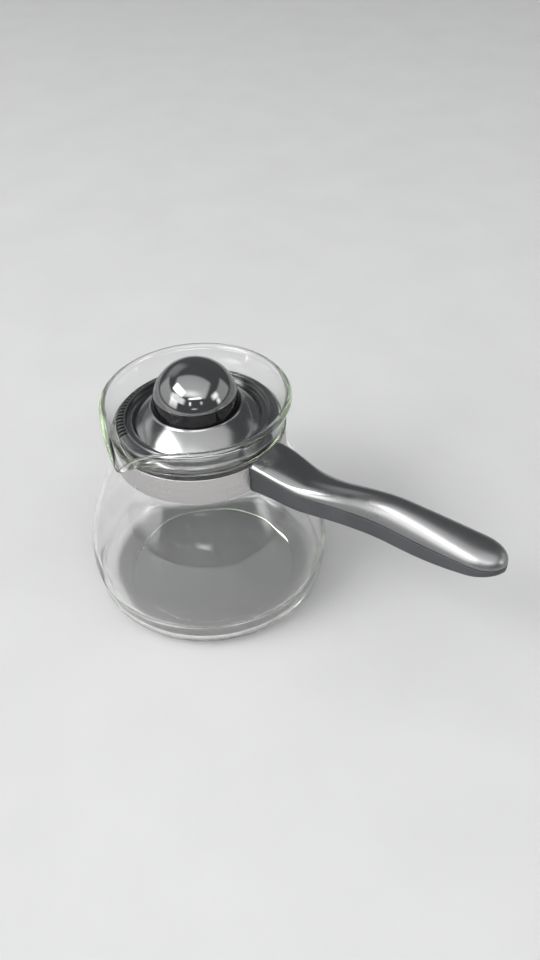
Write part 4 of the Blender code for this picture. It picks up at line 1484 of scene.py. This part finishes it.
@dataclass(frozen=True)
class Softbox:
    """A rectangular lamp that faces the pot from a direction round it.

    The direction is in degrees, and the radiance is that of the lower and of the upper edge.
    """

    name: str
    azimuth: float
    elevation: float
    distance: float
    width: float
    height: float
    radiance: tuple[float, float]
    soft: float = 0.5

    def make(self, target: Vector) -> None:
        """Hang the lamp, hidden from the camera, with a radiance that changes up its height.

        The power of an even lamp is pi * area for each unit of radiance, and the share of the
        height scales it from the lower edge's radiance to the upper edge's.  Towards its edges
        the lamp fades out, over its soft share of the way from the edge to the middle.

        Args:
            target: point that the lamp faces.
        """
        data = bpy.data.lights.new(self.name, 'AREA')
        data.shape = 'RECTANGLE'
        data.size = self.width
        data.size_y = self.height
        data.energy = math.pi * self.width * self.height
        wiring = Wiring(data)
        place = wiring.add("NewGeometry", {}).outputs["Parametric"]
        axes = wiring.add("SeparateXYZ", {0: place}).outputs
        strength = wiring.add("MapRange", {"Value": axes["Y"], "To Min": self.radiance[0],
                                           "To Max": self.radiance[1]}).outputs[0]
        for side in ("X", "Y"):
            inwards = wiring.add("Math", {0: axes[side], 1: 0.5}, operation='PINGPONG').outputs[0]
            fade = wiring.add("MapRange", {"Value": inwards, "From Max": self.soft / 2},
                              interpolation_type='SMOOTHSTEP').outputs[0]
            strength = wiring.add("Math", {0: fade, 1: strength}, operation='MULTIPLY').outputs[0]
        wiring.set("Emission", {"Strength": strength})
        lamp = bpy.data.objects.new(self.name, data)
        lamp.visible_camera = False
        turn, rise = math.radians(self.azimuth), math.radians(self.elevation)
        way = Vector((math.cos(turn) * math.cos(rise), math.sin(turn) * math.cos(rise), math.sin(rise)))
        lamp.location = target + way * self.distance
        lamp.rotation_euler = way.to_track_quat('Z', 'Y').to_euler()
        bpy.context.scene.collection.objects.link(lamp)


@dataclass
class Studio:
    """Pale floor, soft lamps, a plain world and the camera at the photograph's angle."""

    camera_place: Triple = (0.22829, -0.22829, 0.33563)
    look_azimuth: float = 129.497
    look_down: float = 41.140
    camera_roll: float = -2.483
    lens: float = 33.75
    nearest: float = 0.01
    lamps_face: Triple = (0.02, 0.0, 0.06)
    floor_half: float = 6.0
    floor_points: int = 7
    floor_drop: float = 0.0002
    world: Colour = (0.18, 0.185, 0.19)
    light_path: int = 40
    lamps: tuple[Softbox, ...] = (
        Softbox("lamp_above", -64.0, 71.0, 3.0, 6.4, 3.9, (2.0, 1.0), 0.3),
        Softbox("lamp_brow", -62.0, 51.0, 2.6, 3.4, 1.2, (2.8, 1.4), 1.0),
        Softbox("screen_left", -145.0, 17.0, 2.8, 3.6, 1.8, (0.9, 1.2), 0.4),
        Softbox("screen_right", 40.0, 17.0, 2.9, 3.6, 1.8, (0.9, 0.9), 0.4),
        Softbox("screen_back", 168.0, 32.0, 2.9, 2.4, 2.2, (0.6, 0.5), 0.7),
        Softbox("lamp_left", -114.0, 47.0, 2.5, 1.9, 0.9, (9.5, 9.0), 0.4),
        Softbox("lamp_left_low", -103.0, 28.0, 2.5, 2.4, 0.85, (3.4, 3.4), 0.5),
        Softbox("lamp_right", 14.0, 25.0, 2.5, 1.3, 0.9, (4.2, 3.4), 0.8),
        Softbox("lamp_front", -48.0, 38.0, 2.4, 1.8, 0.26, (7.0, 7.0), 0.5),
        Softbox("pane_left", -63.0, 24.0, 2.4, 0.30, 0.50, (3.5, 5.0)),
        Softbox("pane_right", -31.0, 24.0, 2.4, 0.35, 0.45, (1.5, 2.5)),
        Softbox("lamp_low", -52.0, 11.0, 2.4, 0.9, 0.16, (4.0, 4.0), 0.9),
        Softbox("strip_left", -110.0, 12.0, 2.5, 1.3, 1.1, (1.0, 5.0), 0.5),
        Softbox("strip_right", 17.0, 9.0, 2.5, 0.70, 0.9, (1.5, 5.0), 0.9),
    )

    def floor(self) -> None:
        """A wide flat sheet of paper just under the foot."""
        span = np.linspace(-self.floor_half, self.floor_half, self.floor_points)
        x, y = np.meshgrid(span, span)
        points = np.stack([x, y, np.full_like(x, -self.floor_drop)], axis=-1)
        sheet = sewn("floor", [Patch(points)])
        sheet.data.materials.append(FloorFinish("floor_paper").material())

    def camera(self) -> None:
        """Camera turned to the photograph's direction and rolled a little."""
        data = bpy.data.cameras.new("camera")
        data.lens = self.lens
        data.clip_start = self.nearest
        eye = bpy.data.objects.new("camera", data)
        turn = Matrix.Rotation(math.radians(self.look_azimuth - 90), 4, 'Z')
        tilt = Matrix.Rotation(math.radians(90 - self.look_down), 4, 'X')
        roll = Matrix.Rotation(math.radians(self.camera_roll), 4, 'Z')
        eye.matrix_world = Matrix.Translation(self.camera_place) @ turn @ tilt @ roll
        bpy.context.scene.collection.objects.link(eye)
        bpy.context.scene.camera = eye

    def light(self) -> None:
        """World, lamps and the plain view transform."""
        world = bpy.data.worlds.new("world")
        world.use_nodes = True
        world.node_tree.nodes["Background"].inputs["Color"].default_value = (*self.world, 1.0)
        scene = bpy.context.scene
        scene.world = world
        scene.view_settings.view_transform = 'Standard'
        scene.cycles.max_bounces = self.light_path
        scene.cycles.glossy_bounces = self.light_path
        scene.cycles.transmission_bounces = self.light_path
        for lamp in self.lamps:
            lamp.make(Vector(self.lamps_face))

    def make(self) -> None:
        """Set up the camera, the floor and the light."""
        self.camera()
        self.floor()
        self.light()


def main() -> None:
    """Build every piece in order."""
    logging.basicConfig(level=logging.INFO, format="%(name)s: %(message)s")
    Studio().make()
    GlassPot().make()
    strap = Strap()
    strap.make()
    Handle(strap).make()
    knob = Knob()
    Lid(knob.radius).make()
    knob.make()


if __name__ == "__main__":
    main()
